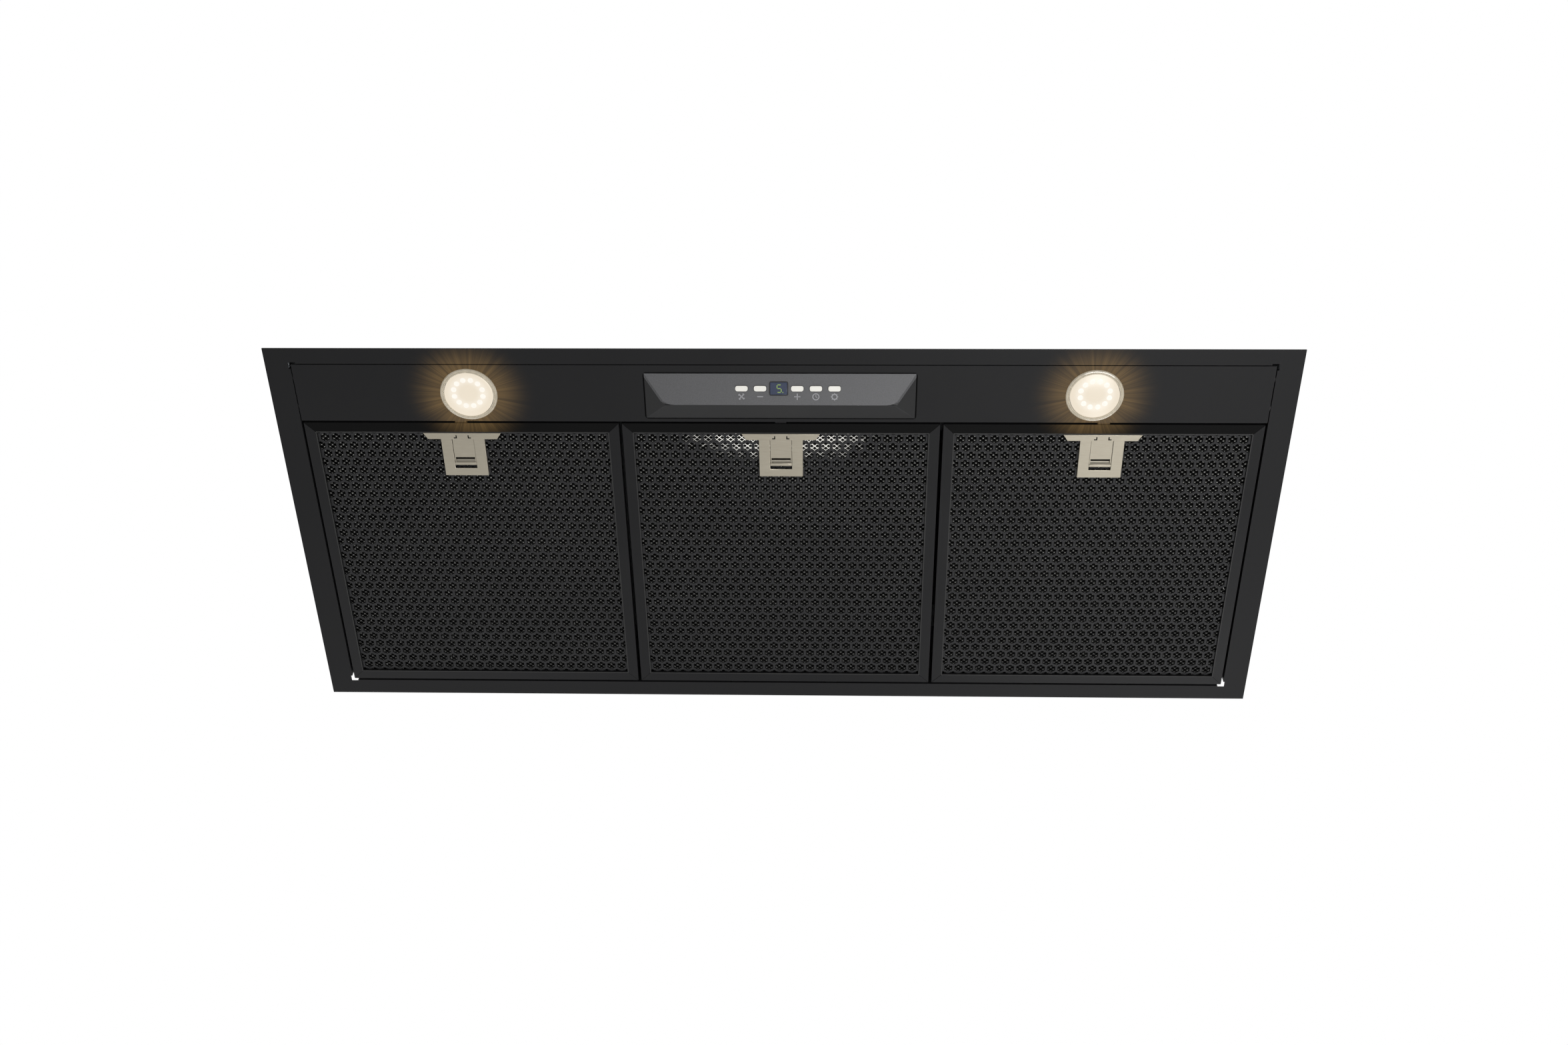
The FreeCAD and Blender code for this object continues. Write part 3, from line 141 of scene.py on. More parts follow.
def powder_coat(name, base, worn, roughness, haloed, gloss=0.14):
    """Powder coated sheet: satin black, its gloss a little cloudy, with orange peel.

    The peel of real paint is about 0.4 mm and too fine to show, so it is drawn coarser.
    """
    material, tree, shader, place = new_finish(name, IOR=1.5, Specular_IOR_Level=gloss)
    cloud = add_node(tree, "ShaderNodeTexNoise", {"Vector": place, "Scale": per_metre(CLOUD_MM),
                                                  "Detail": 4.0}).outputs[0]
    peel = add_node(tree, "ShaderNodeTexNoise", {"Vector": place, "Scale": per_metre(PEEL_MM),
                                                 "Detail": 2.0}).outputs[0]
    tint = add_node(tree, "ShaderNodeMix", {0: cloud, 6: linear(base), 7: linear(worn)}, data_type="RGBA")
    tree.links.new(tint.outputs[2], shader.inputs["Base Color"])
    rough = add_node(tree, "ShaderNodeMapRange", {"Value": cloud, "To Min": roughness - CLOUD_SMOOTHER,
                                                  "To Max": roughness + CLOUD_ROUGHER}).outputs[0]
    tree.links.new(rough, shader.inputs["Roughness"])
    bumped(tree, shader, peel, PEEL_DEPTH_MM, PEEL_STRENGTH)
    if haloed:
        lamp_halo(tree, shader, place)
    return material


def piece(name, bm, material, body):
    """Make a finished mesh an object at the origin that rides on a body."""
    mesh = bpy.data.meshes.new(name)
    bm.to_mesh(mesh)
    bm.free()
    made = bpy.data.objects.new(name, mesh)
    bpy.context.scene.collection.objects.link(made)
    mesh.materials.append(material)
    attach(made, body)
    return made


def folded_copy(node):
    """A CAD node's form with its triangles merged back into flat faces."""
    bm = bmesh.new()
    bm.from_mesh(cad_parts[node].data)
    bmesh.ops.remove_doubles(bm, verts=bm.verts, dist=MERGE_WITHIN)
    bmesh.ops.dissolve_limit(bm, angle_limit=FLAT_WITHIN, verts=bm.verts, edges=bm.edges)
    return bm


def ease(bm, width_mm, edges=None, segments=2, sharper_than=35):
    """Round off sharp edges, as folding, moulding or paint does."""
    if edges is None:
        edges = [edge for edge in bm.edges
                 if edge.is_manifold and edge.calc_face_angle() > math.radians(sharper_than)]
    rounded = bmesh.ops.bevel(bm, geom=edges, offset=width_mm * MM, offset_type="OFFSET",
                              segments=segments, profile=0.5, affect="EDGES", clamp_overlap=True,
                              material=-1)
    for face in rounded["faces"]:
        face.smooth = True


def eased_node(node, width_mm, material, body):
    """A CAD node's own form with eased edges, standing for that node."""
    bm = folded_copy(node)
    ease(bm, width_mm)
    made = piece(f"{node}_eased", bm, material, body)
    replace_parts(made, node)
    return made


black_coat = powder_coat("black_powder_coat", "#171718", "#1c1c1d", 0.46, haloed=True)
eased_node("fascia_frame", 0.35, black_coat, "root")

# Control strip: a shallow tray of the same coated sheet, set in the front of the opening.
# Nylon spacers at its ends, near black and matt, keep an even gap to the collar.
eased_node("control_strip", 0.4, black_coat, "root")


def mottled(name, low, high, grain_mm, detail=2.0, relief=None, **sockets):
    """A finish of two near shades in a grain of a real size.

    Relief, where the grain stands out, is its depth in millimetres and its strength.
    """
    material, tree, shader, place = new_finish(name, **sockets)
    grain = add_node(tree, "ShaderNodeTexNoise", {"Vector": place, "Scale": per_metre(grain_mm),
                                                  "Detail": detail}).outputs[0]
    tint = add_node(tree, "ShaderNodeMix", {0: grain, 6: linear(low), 7: linear(high)}, data_type="RGBA")
    tree.links.new(tint.outputs[2], shader.inputs["Base Color"])
    if relief:
        bumped(tree, shader, grain, *relief)
    return material


def dress(finish, *names):
    """Give CAD nodes whose form is right a finish of their own."""
    for name in names:
        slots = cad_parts[name].data.materials
        slots.clear()
        slots.append(finish)


nylon = mottled("moulded_nylon", "#0d0d0d", "#202021", 1.5, relief=(0.05, 1.0), Roughness=0.55, IOR=1.53)
dress(nylon, "strip_spacers")

# Lamps: a clear moulded rim snapped into the strip, round a lit opal lens.
# Twelve diodes on the board behind show through the lens as a ring of brighter spots.
RIM_LOW = -3.2 * MM
RIM_TOP = -1.2 * MM
RIM_INNER = 21.8 * MM
LENS_LOW = -3.0 * MM
LENS_RADIUS = 21.5 * MM
LENS_SHEET = 1.5 * MM
LED_RING = 13.0 * MM
LED_SHIFT = -2.0 * MM
LED_SPOT = 2.5 * MM
LED_FLATNESS = 0.06
LED_GLOW = 6.5 * MM
LED_GLOW_SHARE = 0.35
LED_COUNT = 12
LENS_CREAM = "#e4d8c4"
LENS_LIT = "#fffaf0"
TURNING_STEPS = 96
SOFT_CREASE = 35


def glowing(name, base, glow, dim, bright, mist_mm, roughness):
    """A lit surface that glows a little unevenly."""
    material, tree, shader, place = new_finish(name, Roughness=roughness, Base_Color=linear(base),
                                               Emission_Color=linear(glow))
    mist = add_node(tree, "ShaderNodeTexNoise", {"Vector": place, "Scale": per_metre(mist_mm)}).outputs[0]
    level = add_node(tree, "ShaderNodeMapRange", {"Value": mist, "To Min": dim, "To Max": bright}).outputs[0]
    tree.links.new(level, shader.inputs["Emission Strength"])
    return material


# The opal sheet glows cream all over, and whiter in a soft ring where the diodes sit.
opal = mottled("lit_opal_lens", "#3a3834", "#44413c", 6, Roughness=0.3, IOR=1.49, Emission_Strength=1.0)
opal_tree = opal.node_tree
opal_place = add_node(opal_tree, "ShaderNodeTexCoord").outputs["Object"]
ring_place = add_node(opal_tree, "ShaderNodeVectorMath",
                      {0: from_lamp(opal_tree, opal_place), 1: (0, LED_SHIFT, 0)},
                      operation="SUBTRACT").outputs[0]
opal_reach = add_node(opal_tree, "ShaderNodeVectorMath", {0: ring_place},
                      operation="LENGTH").outputs["Value"]
off_ring = add_node(opal_tree, "ShaderNodeMath", {0: opal_reach, 1: LED_RING},
                    operation="SUBTRACT").outputs[0]
off_ring = add_node(opal_tree, "ShaderNodeMath", {0: off_ring}, operation="ABSOLUTE").outputs[0]
ring_glow = add_node(opal_tree, "ShaderNodeMapRange", {"Value": off_ring, "From Max": LED_GLOW,
                                                       "To Min": LED_GLOW_SHARE, "To Max": 0.0},
                     interpolation_type="SMOOTHSTEP").outputs[0]
opal_lit = add_node(opal_tree, "ShaderNodeMix", {0: ring_glow, 6: linear(LENS_CREAM), 7: linear(LENS_LIT)},
                    data_type="RGBA").outputs[2]
opal_tree.links.new(opal_lit, opal_tree.nodes["Principled BSDF"].inputs["Emission Color"])
diode = glowing("diode_glow", "#454340", LENS_LIT, 0.86, 0.98, 2, 0.3)
# The clear rim carries some of the lens's light, so it looks like pale, glossy horn.
rim_clear = mottled("clear_moulded_rim", "#857e71", "#b9b09d", 4, Roughness=0.12, IOR=1.58, Coat_Weight=0.6,
                    Coat_Roughness=0.05, Emission_Color=linear("#c9bda4"), Emission_Strength=0.22)


def curved(bm, crease=30):
    """Shade a turned or rolled form as one curve, and keep its creases crisp."""
    for face in bm.faces:
        face.smooth = True
    for edge in bm.edges:
        edge.smooth = edge.is_manifold and edge.calc_face_angle() < math.radians(crease)


def spun(profile, centre):
    """A closed ring or disc turned from a profile of radii and heights about an upright axis."""
    bm = bmesh.new()
    points = [bm.verts.new(centre + Vector((radius, 0, height))) for radius, height in profile]
    edges = [bm.edges.new(pair) for pair in zip(points, points[1:])]
    bmesh.ops.spin(bm, geom=points + edges, cent=centre, axis=(0, 0, 1), angle=math.tau,
                   steps=TURNING_STEPS, use_merge=True)
    bmesh.ops.remove_doubles(bm, verts=bm.verts, dist=0.001 * MM)
    bmesh.ops.recalc_face_normals(bm, faces=bm.faces)
    curved(bm, SOFT_CREASE)
    return bm


RIM_PROFILE = [(RIM_INNER, RIM_TOP), (RIM_INNER, RIM_LOW + 0.3 * MM), (RIM_INNER + 0.4 * MM, RIM_LOW),
               (LAMP_RADIUS - 2.4 * MM, RIM_LOW), (LAMP_RADIUS - 2.0 * MM, RIM_LOW + 0.5 * MM),
               (LAMP_RADIUS - 1.6 * MM, RIM_LOW + 0.1 * MM), (LAMP_RADIUS - 0.7 * MM, RIM_LOW + 0.3 * MM),
               (LAMP_RADIUS, RIM_LOW + 1.2 * MM), (LAMP_RADIUS, RIM_TOP), (RIM_INNER, RIM_TOP)]
LENS_PROFILE = [(0, LENS_LOW), (LENS_RADIUS - 1.2 * MM, LENS_LOW), (LENS_RADIUS, LENS_LOW + 0.5 * MM),
                (LENS_RADIUS, LENS_LOW + LENS_SHEET), (0, LENS_LOW + LENS_SHEET)]
for side, lamp_x in (("left", -LAMP_X), ("right", LAMP_X)):
    lamp = Vector((lamp_x, LAMP_Y, 0))
    rim = piece(f"lamp_rim_{side}", spun(RIM_PROFILE, lamp), rim_clear, "root")
    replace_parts(rim, f"lamp_bezel_{side}")
    lens = piece(f"lamp_opal_{side}", spun(LENS_PROFILE, lamp), opal, "root")
    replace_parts(lens, f"lamp_lens_{side}")
    spots = bmesh.new()
    for step in range(LED_COUNT):
        turn = math.tau * (step + 0.5) / LED_COUNT
        at = lamp + Vector((LED_RING * math.cos(turn), LED_RING * math.sin(turn) + LED_SHIFT, LENS_LOW))
        flattened = Matrix.Translation(at) @ Matrix.Diagonal((1, 1, LED_FLATNESS, 1))
        bmesh.ops.create_uvsphere(spots, u_segments=14, v_segments=8, radius=LED_SPOT, matrix=flattened)
    piece(f"lamp_spots_{side}", spots, diode, "root")

# Control panel: a black moulded wedge that leans its face towards the user.
# The face is a sheet with metallic grey paint, its rear corners rounded, let into the wedge.
PANEL_FRONT = -169.1 * MM
PANEL_STEP = -2.2 * MM
PANEL_RUN = 26.2 * MM
PANEL_RISE = 9.0 * MM
LEAN = math.atan2(PANEL_RISE, PANEL_RUN)
FACE_CORNER_MM = 3.6
FACE_REAR_BAND = 1.5 * MM
FACE_END = 95 * MM
CORNER_EDGE = 4 * MM
FLAKE_MM = 0.8
SHADE_RING_WIDE = 1.1 * MM
SHADE_RING_THICK = 0.35 * MM
SHADE_RING_CORNER = 3 * MM

# Moulded ABS is an even, half matt black with a fine grain.
moulded_black = mottled("moulded_black_abs", "#202020", "#202021", 1.2, 3.0, (0.03, 0.4), Roughness=0.42,
                        IOR=1.53, Specular_IOR_Level=0.25)
# The flakes in the grey paint give a faint sparkle. They are drawn coarse enough to show.
flake_grey, flake_tree, flake_shader, flake_place = new_finish("metallic_grey_paint", Metallic=0.35)
flake = add_node(flake_tree, "ShaderNodeTexNoise", {"Vector": flake_place, "Scale": per_metre(FLAKE_MM),
                                                    "Detail": 4.0, "Roughness": 0.7}).outputs[0]
flake_share = add_node(flake_tree, "ShaderNodeMapRange", {"Value": flake, "From Min": 0.35,
                                                          "From Max": 0.65}).outputs[0]
flake_tint = add_node(flake_tree, "ShaderNodeMix", {0: flake_share, 6: linear("#464647"),
                                                    7: linear("#535355")}, data_type="RGBA")
flake_tree.links.new(flake_tint.outputs[2], flake_shader.inputs["Base Color"])
flake_rough = add_node(flake_tree, "ShaderNodeMapRange", {"Value": flake, "To Min": 0.4,
                                                          "To Max": 0.6}).outputs[0]
flake_tree.links.new(flake_rough, flake_shader.inputs["Roughness"])
bumped(flake_tree, flake_shader, flake, 0.02, 0.3)
# A near-black, matt finish with fine cells: painted shade, for the dark gap round the bezel and the dark of
# the latch slits.
shade_black, shade_black_tree, shade_black_shader, shade_black_place = new_finish("painted_shade_black", Roughness=0.95,
                                                      Specular_IOR_Level=0.05)
shade_black_cells = add_node(shade_black_tree, "ShaderNodeTexVoronoi", {"Vector": shade_black_place,
                                                          "Scale": per_metre(0.6)}).outputs[0]
shade_black_tint = add_node(shade_black_tree, "ShaderNodeMix", {0: shade_black_cells, 6: linear("#060606"), 7: linear("#0c0c0c")},
                     data_type="RGBA")
shade_black_tree.links.new(shade_black_tint.outputs[2], shade_black_shader.inputs["Base Color"])
bumped(shade_black_tree, shade_black_shader, shade_black_cells, 0.1)


def flat_rim(place, wide, tall, rim, thick, corner):
    """A flat rounded rim round a window of a width and height, lying on a plane."""
    bm = bmesh.new()
    bmesh.ops.create_grid(bm, x_segments=1, y_segments=1, size=1,
                          matrix=Matrix.Diagonal((wide / 2 + rim, tall / 2 + rim, 1, 1)))
    bmesh.ops.bevel(bm, geom=list(bm.verts), offset=corner, offset_type="OFFSET", segments=5, profile=0.5,
                    affect="VERTICES", clamp_overlap=True, material=-1)
    middle = list(bm.faces)
    bmesh.ops.inset_region(bm, faces=middle, use_boundary=True, use_even_offset=True, thickness=rim)
    bmesh.ops.delete(bm, geom=middle, context="FACES_ONLY")
    bmesh.ops.solidify(bm, geom=list(bm.faces), thickness=-thick)
    bmesh.ops.recalc_face_normals(bm, faces=bm.faces)
    bmesh.ops.transform(bm, matrix=place, verts=bm.verts)
    return bm


eased_node("control_bezel", 0.7, moulded_black, "root")
bezel_low, bezel_high = (Vector(corner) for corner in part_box("control_bezel"))
strip_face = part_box("control_strip")[0][2]
# A thin near-black ring on the strip round the bezel's foot is painted shade, for the gap and shadow round
# the bezel.
shade_ring_place = Matrix.Translation(((bezel_low.x + bezel_high.x) / 2, (bezel_low.y + bezel_high.y) / 2,
                                 strip_face - SHADE_RING_THICK))
shade_ring = flat_rim(shade_ring_place, bezel_high.x - bezel_low.x, bezel_high.y - bezel_low.y, SHADE_RING_WIDE, SHADE_RING_THICK,
                SHADE_RING_CORNER)
piece("bezel_shade_ring", shade_ring, shade_black, "root")
face_bm = folded_copy("control_face")
rear_corners = [edge for edge in face_bm.edges
                if all(vert.co.y > PANEL_FRONT + PANEL_RUN - FACE_REAR_BAND for vert in edge.verts)
                and abs((edge.verts[1].co - edge.verts[0].co).x) < CORNER_EDGE
                and max(abs(vert.co.x) for vert in edge.verts) > FACE_END]
ease(face_bm, FACE_CORNER_MM, rear_corners, segments=6)
ease(face_bm, 0.2, sharper_than=50)
grey_face = piece("control_face_eased", face_bm, flake_grey, "root")
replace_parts(grey_face, "control_face")

# Controls: five translucent buttons lit from behind, a tinted window for one digit,
# and light grey signs printed on the face below them.
CONTROL_PITCH = 16.2 * MM
CONTROL_SHIFT = 7.1 * MM
BUTTON_AT = 13.0 * MM
BUTTON_SHADE_RIM = (10.8 * MM, 4.8 * MM, 0.45 * MM, 2.2 * MM)
DISPLAY_RIM = (15 * MM, 11 * MM, 0.9 * MM, 1.8 * MM)
SURROUND_THICK = 0.25 * MM
SIGN_AT = 20.2 * MM
SIGN_RAISED = 0.06 * MM

# Polycarbonate lit from behind is a soft, even white. The print is a flat, matt grey.
lit_white = mottled("lit_white_polycarbonate", "#b4b2aa", "#bebcb5", 5, Roughness=0.35, IOR=1.58,
                    Emission_Color=linear("#fffdf6"), Emission_Strength=0.3)
printed = mottled("screen_print_grey", "#8d8d90", "#98989b", 1, Roughness=0.6)
# The window is a dark, glossy blue, and the digit in it glows a yellowish green.
window = mottled("tinted_window", "#18202f", "#1d2840", 3, Roughness=0.12, IOR=1.49, Coat_Weight=0.4,
                 Emission_Color=linear("#2b3c63"), Emission_Strength=0.2)
digit_lit = glowing("lit_green_segment", "#31401c", "#9fc25a", 0.4, 0.6, 1, 0.4)


def face_matrix(across, along, proud=0.0):
    """The place on the sloped face: across it, down its slope and proud of it, with Z outwards."""
    down = Vector((0, math.cos(LEAN), -math.sin(LEAN)))
    outward = Vector((0, -math.sin(LEAN), -math.cos(LEAN)))
    at = Vector((across, PANEL_FRONT, PANEL_STEP)) + down * along + outward * proud
    return Matrix.Translation(at) @ Matrix((Vector((1, 0, 0)), -down, outward)).transposed().to_4x4()


control_x = {name: (step - 2.5) * CONTROL_PITCH + CONTROL_SHIFT
             for step, name in enumerate(("fan", "minus", "display", "plus", "timer", "light"))}
for name in ("fan", "minus", "plus", "timer", "light"):
    eased_node(f"button_{name}", 0.35, lit_white, f"button_{name}")
eased_node("display_module", 0.5, window, "root")
# A near-black ring lies round each control: round the display it is the window's dark border, round each
# button it is painted shade at the button's edge.
for name, across in control_x.items():
    wide, tall, rim, corner = DISPLAY_RIM if name == "display" else BUTTON_SHADE_RIM
    surround = flat_rim(face_matrix(across, BUTTON_AT), wide, tall, rim, SURROUND_THICK, corner)
    piece(f"dark_ring_{name}", surround, moulded_black, "root")


def bar(bm, place, length, width, turn=0.0, across=0.0, along=0.0):
    """One flat printed stroke, square to the face: its length and width in metres."""
    stretch = Matrix.Diagonal((length, width, SIGN_RAISED, 1))
    set_in = Matrix.Translation((across, along, 0)) @ Matrix.Rotation(turn, 4, "Z")
    bmesh.ops.create_cube(bm, size=1, matrix=place @ set_in @ stretch)


def ray(bm, place, heading, reach, length, width, twist=0.0):
    """One stroke set out from a sign's middle along a heading, and turned on by a twist."""
    bar(bm, place, length, width, heading + twist, reach * math.cos(heading), reach * math.sin(heading))


def hoop(bm, place, outer, inner):
    """One printed ring, square to the face."""
    made = bmesh.ops.create_circle(bm, segments=28, radius=outer, cap_ends=True, matrix=place)
    face = made["verts"][0].link_faces[0]
    bmesh.ops.inset_region(bm, faces=[face], use_boundary=True, use_even_offset=True,
                           thickness=outer - inner)
    bmesh.ops.delete(bm, geom=[face], context="FACES_ONLY")


STROKE = 0.85 * MM
FINE_STROKE = 0.6 * MM
FAN_BLADE = {"reach": 1.7 * MM, "length": 3.1 * MM, "width": 1.0 * MM}
FAN_TIP = {"reach": 2.4 * MM, "length": 1.7 * MM, "width": 0.8 * MM, "twist": 0.38}
FAN_TIP_LEAD = 0.22
LIGHT_BEAM = {"reach": 2.9 * MM, "length": 0.9 * MM, "width": FINE_STROKE}
LIGHT_BEAMS = 8
signs = bmesh.new()
sign_at = {name: face_matrix(across, SIGN_AT, SIGN_RAISED) for name, across in control_x.items()}
for turn in (45, 135, 225, 315):
    heading = math.radians(turn)
    ray(signs, sign_at["fan"], heading, **FAN_BLADE)
    ray(signs, sign_at["fan"], heading + FAN_TIP_LEAD, **FAN_TIP)
bar(signs, sign_at["minus"], 5.2 * MM, STROKE)
for turn in (0, math.pi / 2):
    bar(signs, sign_at["plus"], 5.6 * MM, STROKE, turn)
hoop(signs, sign_at["timer"], 3.1 * MM, 2.3 * MM)
bar(signs, sign_at["timer"], 1.9 * MM, FINE_STROKE, math.pi / 2, 0, 0.75 * MM)
bar(signs, sign_at["timer"], 1.5 * MM, FINE_STROKE, math.radians(-35), 0.5 * MM, -0.35 * MM)
hoop(signs, sign_at["light"], 2.7 * MM, 1.75 * MM)
for step in range(LIGHT_BEAMS):
    ray(signs, sign_at["light"], math.tau * step / LIGHT_BEAMS, **LIGHT_BEAM)
piece("printed_signs", signs, printed, "root")

DIGIT_WIDE = 3.6 * MM
DIGIT_TALL = 6.6 * MM
DIGIT_SHIFT = 0.4 * MM
DIGIT_PROUD = 0.34 * MM
SEGMENT = 0.8 * MM
POINT_GAP = 1.4 * MM
digit = bmesh.new()
digit_at = face_matrix(control_x["display"] + DIGIT_SHIFT, BUTTON_AT, DIGIT_PROUD)
for along in (-DIGIT_TALL / 2, 0, DIGIT_TALL / 2):
    bar(digit, digit_at, DIGIT_WIDE - SEGMENT, SEGMENT, 0, 0, along)
for across, along in ((-DIGIT_WIDE / 2, DIGIT_TALL / 4), (DIGIT_WIDE / 2, -DIGIT_TALL / 4)):
    bar(digit, digit_at, DIGIT_TALL / 2 - SEGMENT, SEGMENT, math.pi / 2, across, along)
bar(digit, digit_at, SEGMENT, SEGMENT, 0, DIGIT_WIDE / 2 + POINT_GAP, -DIGIT_TALL / 2)
piece("display_digit", digit, digit_lit, "root")

# Grease filters: each a frame folded from black coated sheet, mitred at its corners.
# Two rear tabs hang it in the fascia, and it swings down about them.
FILTER_STEP = 285 * MM
FILTERS = {"left": -FILTER_STEP, "middle": 0.0, "right": FILTER_STEP}
FILTER_HALF = 140 * MM
FILTER_FRONT = -117.2 * MM
FILTER_REAR = 173.5 * MM
FRAME_FACE = 10 * MM
FRAME_REAR = 174.5 * MM
FOLD_WIDE = 0.9 * MM
FOLD_THICK = 0.12 * MM
frame_coat = powder_coat("filter_frame_coat", "#171718", "#1d1d1e", 0.36, haloed=True)
# The front rails get a darker, duller coat: painted shade for the strip's shadow on them.
rail_shade_coat = powder_coat("painted_shade_frame_coat", "#0b0b0b", "#101010", 0.6, haloed=True, gloss=0.05)
# A paler band on the fold round the opening: painted highlight along the frame's inner edge.
highlight_coat = powder_coat("highlight_fold_coat", "#2e2e2e", "#3a3a39", 0.4, haloed=False)
for side in FILTERS:
    framed = eased_node(f"filter_frame_{side}", 0.3, frame_coat, f"filter_{side}")
    framed.data.materials.append(rail_shade_coat)
    # Faces under the front rail take the painted shade coat.
    for polygon in framed.data.polygons:
        if polygon.normal.z < -0.5 and polygon.center.y < FILTER_FRONT + FRAME_FACE:
            polygon.material_index = 1
    frame_low, frame_high = (Vector(corner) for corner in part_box(f"filter_frame_{side}"))
    fold_place = Matrix.Translation(((frame_low.x + frame_high.x) / 2, (frame_low.y + FRAME_REAR) / 2,
                                     frame_low.z - FOLD_THICK))
    fold = flat_rim(fold_place, frame_high.x - frame_low.x - 2 * FRAME_FACE,
                    FRAME_REAR - frame_low.y - 2 * FRAME_FACE, FOLD_WIDE, FOLD_THICK, FOLD_WIDE)
    piece(f"highlight_fold_{side}", fold, highlight_coat, f"filter_{side}")

# Face sheets: honeycomb steel, punched at a 10 mm pitch with 2 mm webs, pressed soft at
# the holes' edges and coated black. The sheet's cut edge lies hidden above the frame.
PITCH = 10 * MM
ROW = PITCH * math.sqrt(3) / 2
WEB_FLAT = 0.75 * MM
WEB_ROUND = 0.3 * MM
SHEET_LOW = 1.3 * MM
SHEET_THICK = 0.8 * MM
sheet_coat = powder_coat("face_sheet_coat", "#262627", "#2d2d2e", 0.42, haloed=False)


def trim(bm, half_x, front, rear):
    """Cut a flat field to the rectangle of the filter."""
    for at, outward in (((half_x, 0, 0), (1, 0, 0)), ((-half_x, 0, 0), (-1, 0, 0)),
                        ((0, front, 0), (0, -1, 0)), ((0, rear, 0), (0, 1, 0))):
        everything = list(bm.verts) + list(bm.edges) + list(bm.faces)
        bmesh.ops.bisect_plane(bm, geom=everything, plane_co=at, plane_no=outward, clear_outer=True)


comb = bmesh.new()
comb_middle = (FILTER_FRONT + FILTER_REAR) / 2
rows = math.ceil((FILTER_REAR - FILTER_FRONT) / 2 / ROW)
columns = math.ceil(FILTER_HALF / PITCH)
for row in range(-rows, rows + 1):
    for column in range(-columns - 1, columns + 1):
        at = Vector(((column + (0.5 if row % 2 else 0)) * PITCH, comb_middle + row * ROW, SHEET_LOW))
        bmesh.ops.create_circle(comb, segments=6, radius=PITCH / math.sqrt(3), cap_ends=True,
                                matrix=Matrix.Translation(at))
bmesh.ops.remove_doubles(comb, verts=comb.verts, dist=0.02 * MM)
for face in comb.faces:
    if face.normal.z > 0:
        face.normal_flip()
cells = list(comb.faces)
bmesh.ops.inset_individual(comb, faces=cells, thickness=WEB_FLAT)
bmesh.ops.inset_individual(comb, faces=cells, thickness=WEB_ROUND, depth=-WEB_ROUND)
bmesh.ops.delete(comb, geom=cells, context="FACES_ONLY")
trim(comb, FILTER_HALF, FILTER_FRONT, FILTER_REAR)
bmesh.ops.solidify(comb, geom=list(comb.faces), thickness=-(SHEET_THICK - WEB_ROUND))
for side, middle in FILTERS.items():
    copy = comb.copy()
    bmesh.ops.translate(copy, verts=copy.verts, vec=(middle, 0, 0))
    sheet = piece(f"honeycomb_{side}", copy, sheet_coat, f"filter_{side}")
    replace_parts(sheet, f"filter_face_{side}")
comb.free()

# Mesh packs: expanded aluminium in two crossed layers behind each face sheet, dulled by grease, with strands
# painted white and glowing by the middle latch: painted light. A wide mesh guards the back.
DIAMOND_WIDE = PITCH / 2
DIAMOND_LONG = ROW / 2
STRAND = 0.6 * MM
DEEP_STRAND = 1.5 * MM
FRONT_LAYER = 2.65 * MM
REAR_LAYER = 4.1 * MM
BACK_LAYER = 5.9 * MM
BACK_STRAND = 1.1 * MM
BACK_SPREAD = 2.5
KNUCKLE_GLINT = "#b0b0ab"
MESH_STRAND = "#1c1c1c"
MESH_REAR = "#2e2e2e"
MESH_BRIGHT = "#f6f4ee"
GREASE_MM = 45
FLECK_MM = 6
BRIGHT_GLOW = 0.4
BRIGHT_MIDDLE = (0.0, -104 * MM, 0.0)
BRIGHT_REACH = (1 / (84 * MM), 1 / (24 * MM), 0)

# Strands are dark with grease, with painted glints on their knuckles that fade towards the wall, and their
# base colour is lighter towards the wall.
strands, strand_tree, strand_shader, strand_place = new_finish(
    "expanded_aluminium", Roughness=0.5, Specular_IOR_Level=0.1, Emission_Color=linear(MESH_BRIGHT))
lattice = add_node(strand_tree, "ShaderNodeVectorMath", {0: strand_place, 1: (0, comb_middle, 0)},
                   operation="SUBTRACT").outputs[0]
lattice = add_node(strand_tree, "ShaderNodeVectorMath",
                   {0: lattice, 1: (math.tau / DIAMOND_WIDE, math.tau / DIAMOND_LONG, 0)},
                   operation="MULTIPLY").outputs[0]
along = add_node(strand_tree, "ShaderNodeSeparateXYZ", {0: lattice}).outputs
crossings = []
for way in ("ADD", "SUBTRACT"):
    phase = add_node(strand_tree, "ShaderNodeMath", {0: along["X"], 1: along["Y"]}, operation=way).outputs[0]
    crossings.append(add_node(strand_tree, "ShaderNodeMath", {0: phase}, operation="COSINE").outputs[0])
crossing = add_node(strand_tree, "ShaderNodeMath", {0: crossings[0], 1: crossings[1]},
                    operation="ADD").outputs[0]
knuckle = add_node(strand_tree, "ShaderNodeMapRange", {"Value": crossing, "From Min": 0.7,
                                                       "From Max": 1.9}).outputs[0]
grease = add_node(strand_tree, "ShaderNodeTexNoise", {"Vector": strand_place, "Scale": per_metre(GREASE_MM),
                                                      "Detail": 5.0, "Roughness": 0.7}).outputs[0]
glint_share = add_node(strand_tree, "ShaderNodeMapRange", {"Value": grease, "From Min": 0.35, "From Max": 0.65,
                                                      "To Min": 0.7, "To Max": 1.0}).outputs[0]
depth = add_node(strand_tree, "ShaderNodeSeparateXYZ", {0: strand_place}).outputs["Y"]
toward_front = add_node(strand_tree, "ShaderNodeMapRange", {"Value": depth, "From Min": FILTER_FRONT,
                                                       "From Max": FILTER_REAR, "To Min": 1.0,
                                                       "To Max": 0.3}).outputs[0]
glint_share = add_node(strand_tree, "ShaderNodeMath", {0: glint_share, 1: toward_front}, operation="MULTIPLY").outputs[0]
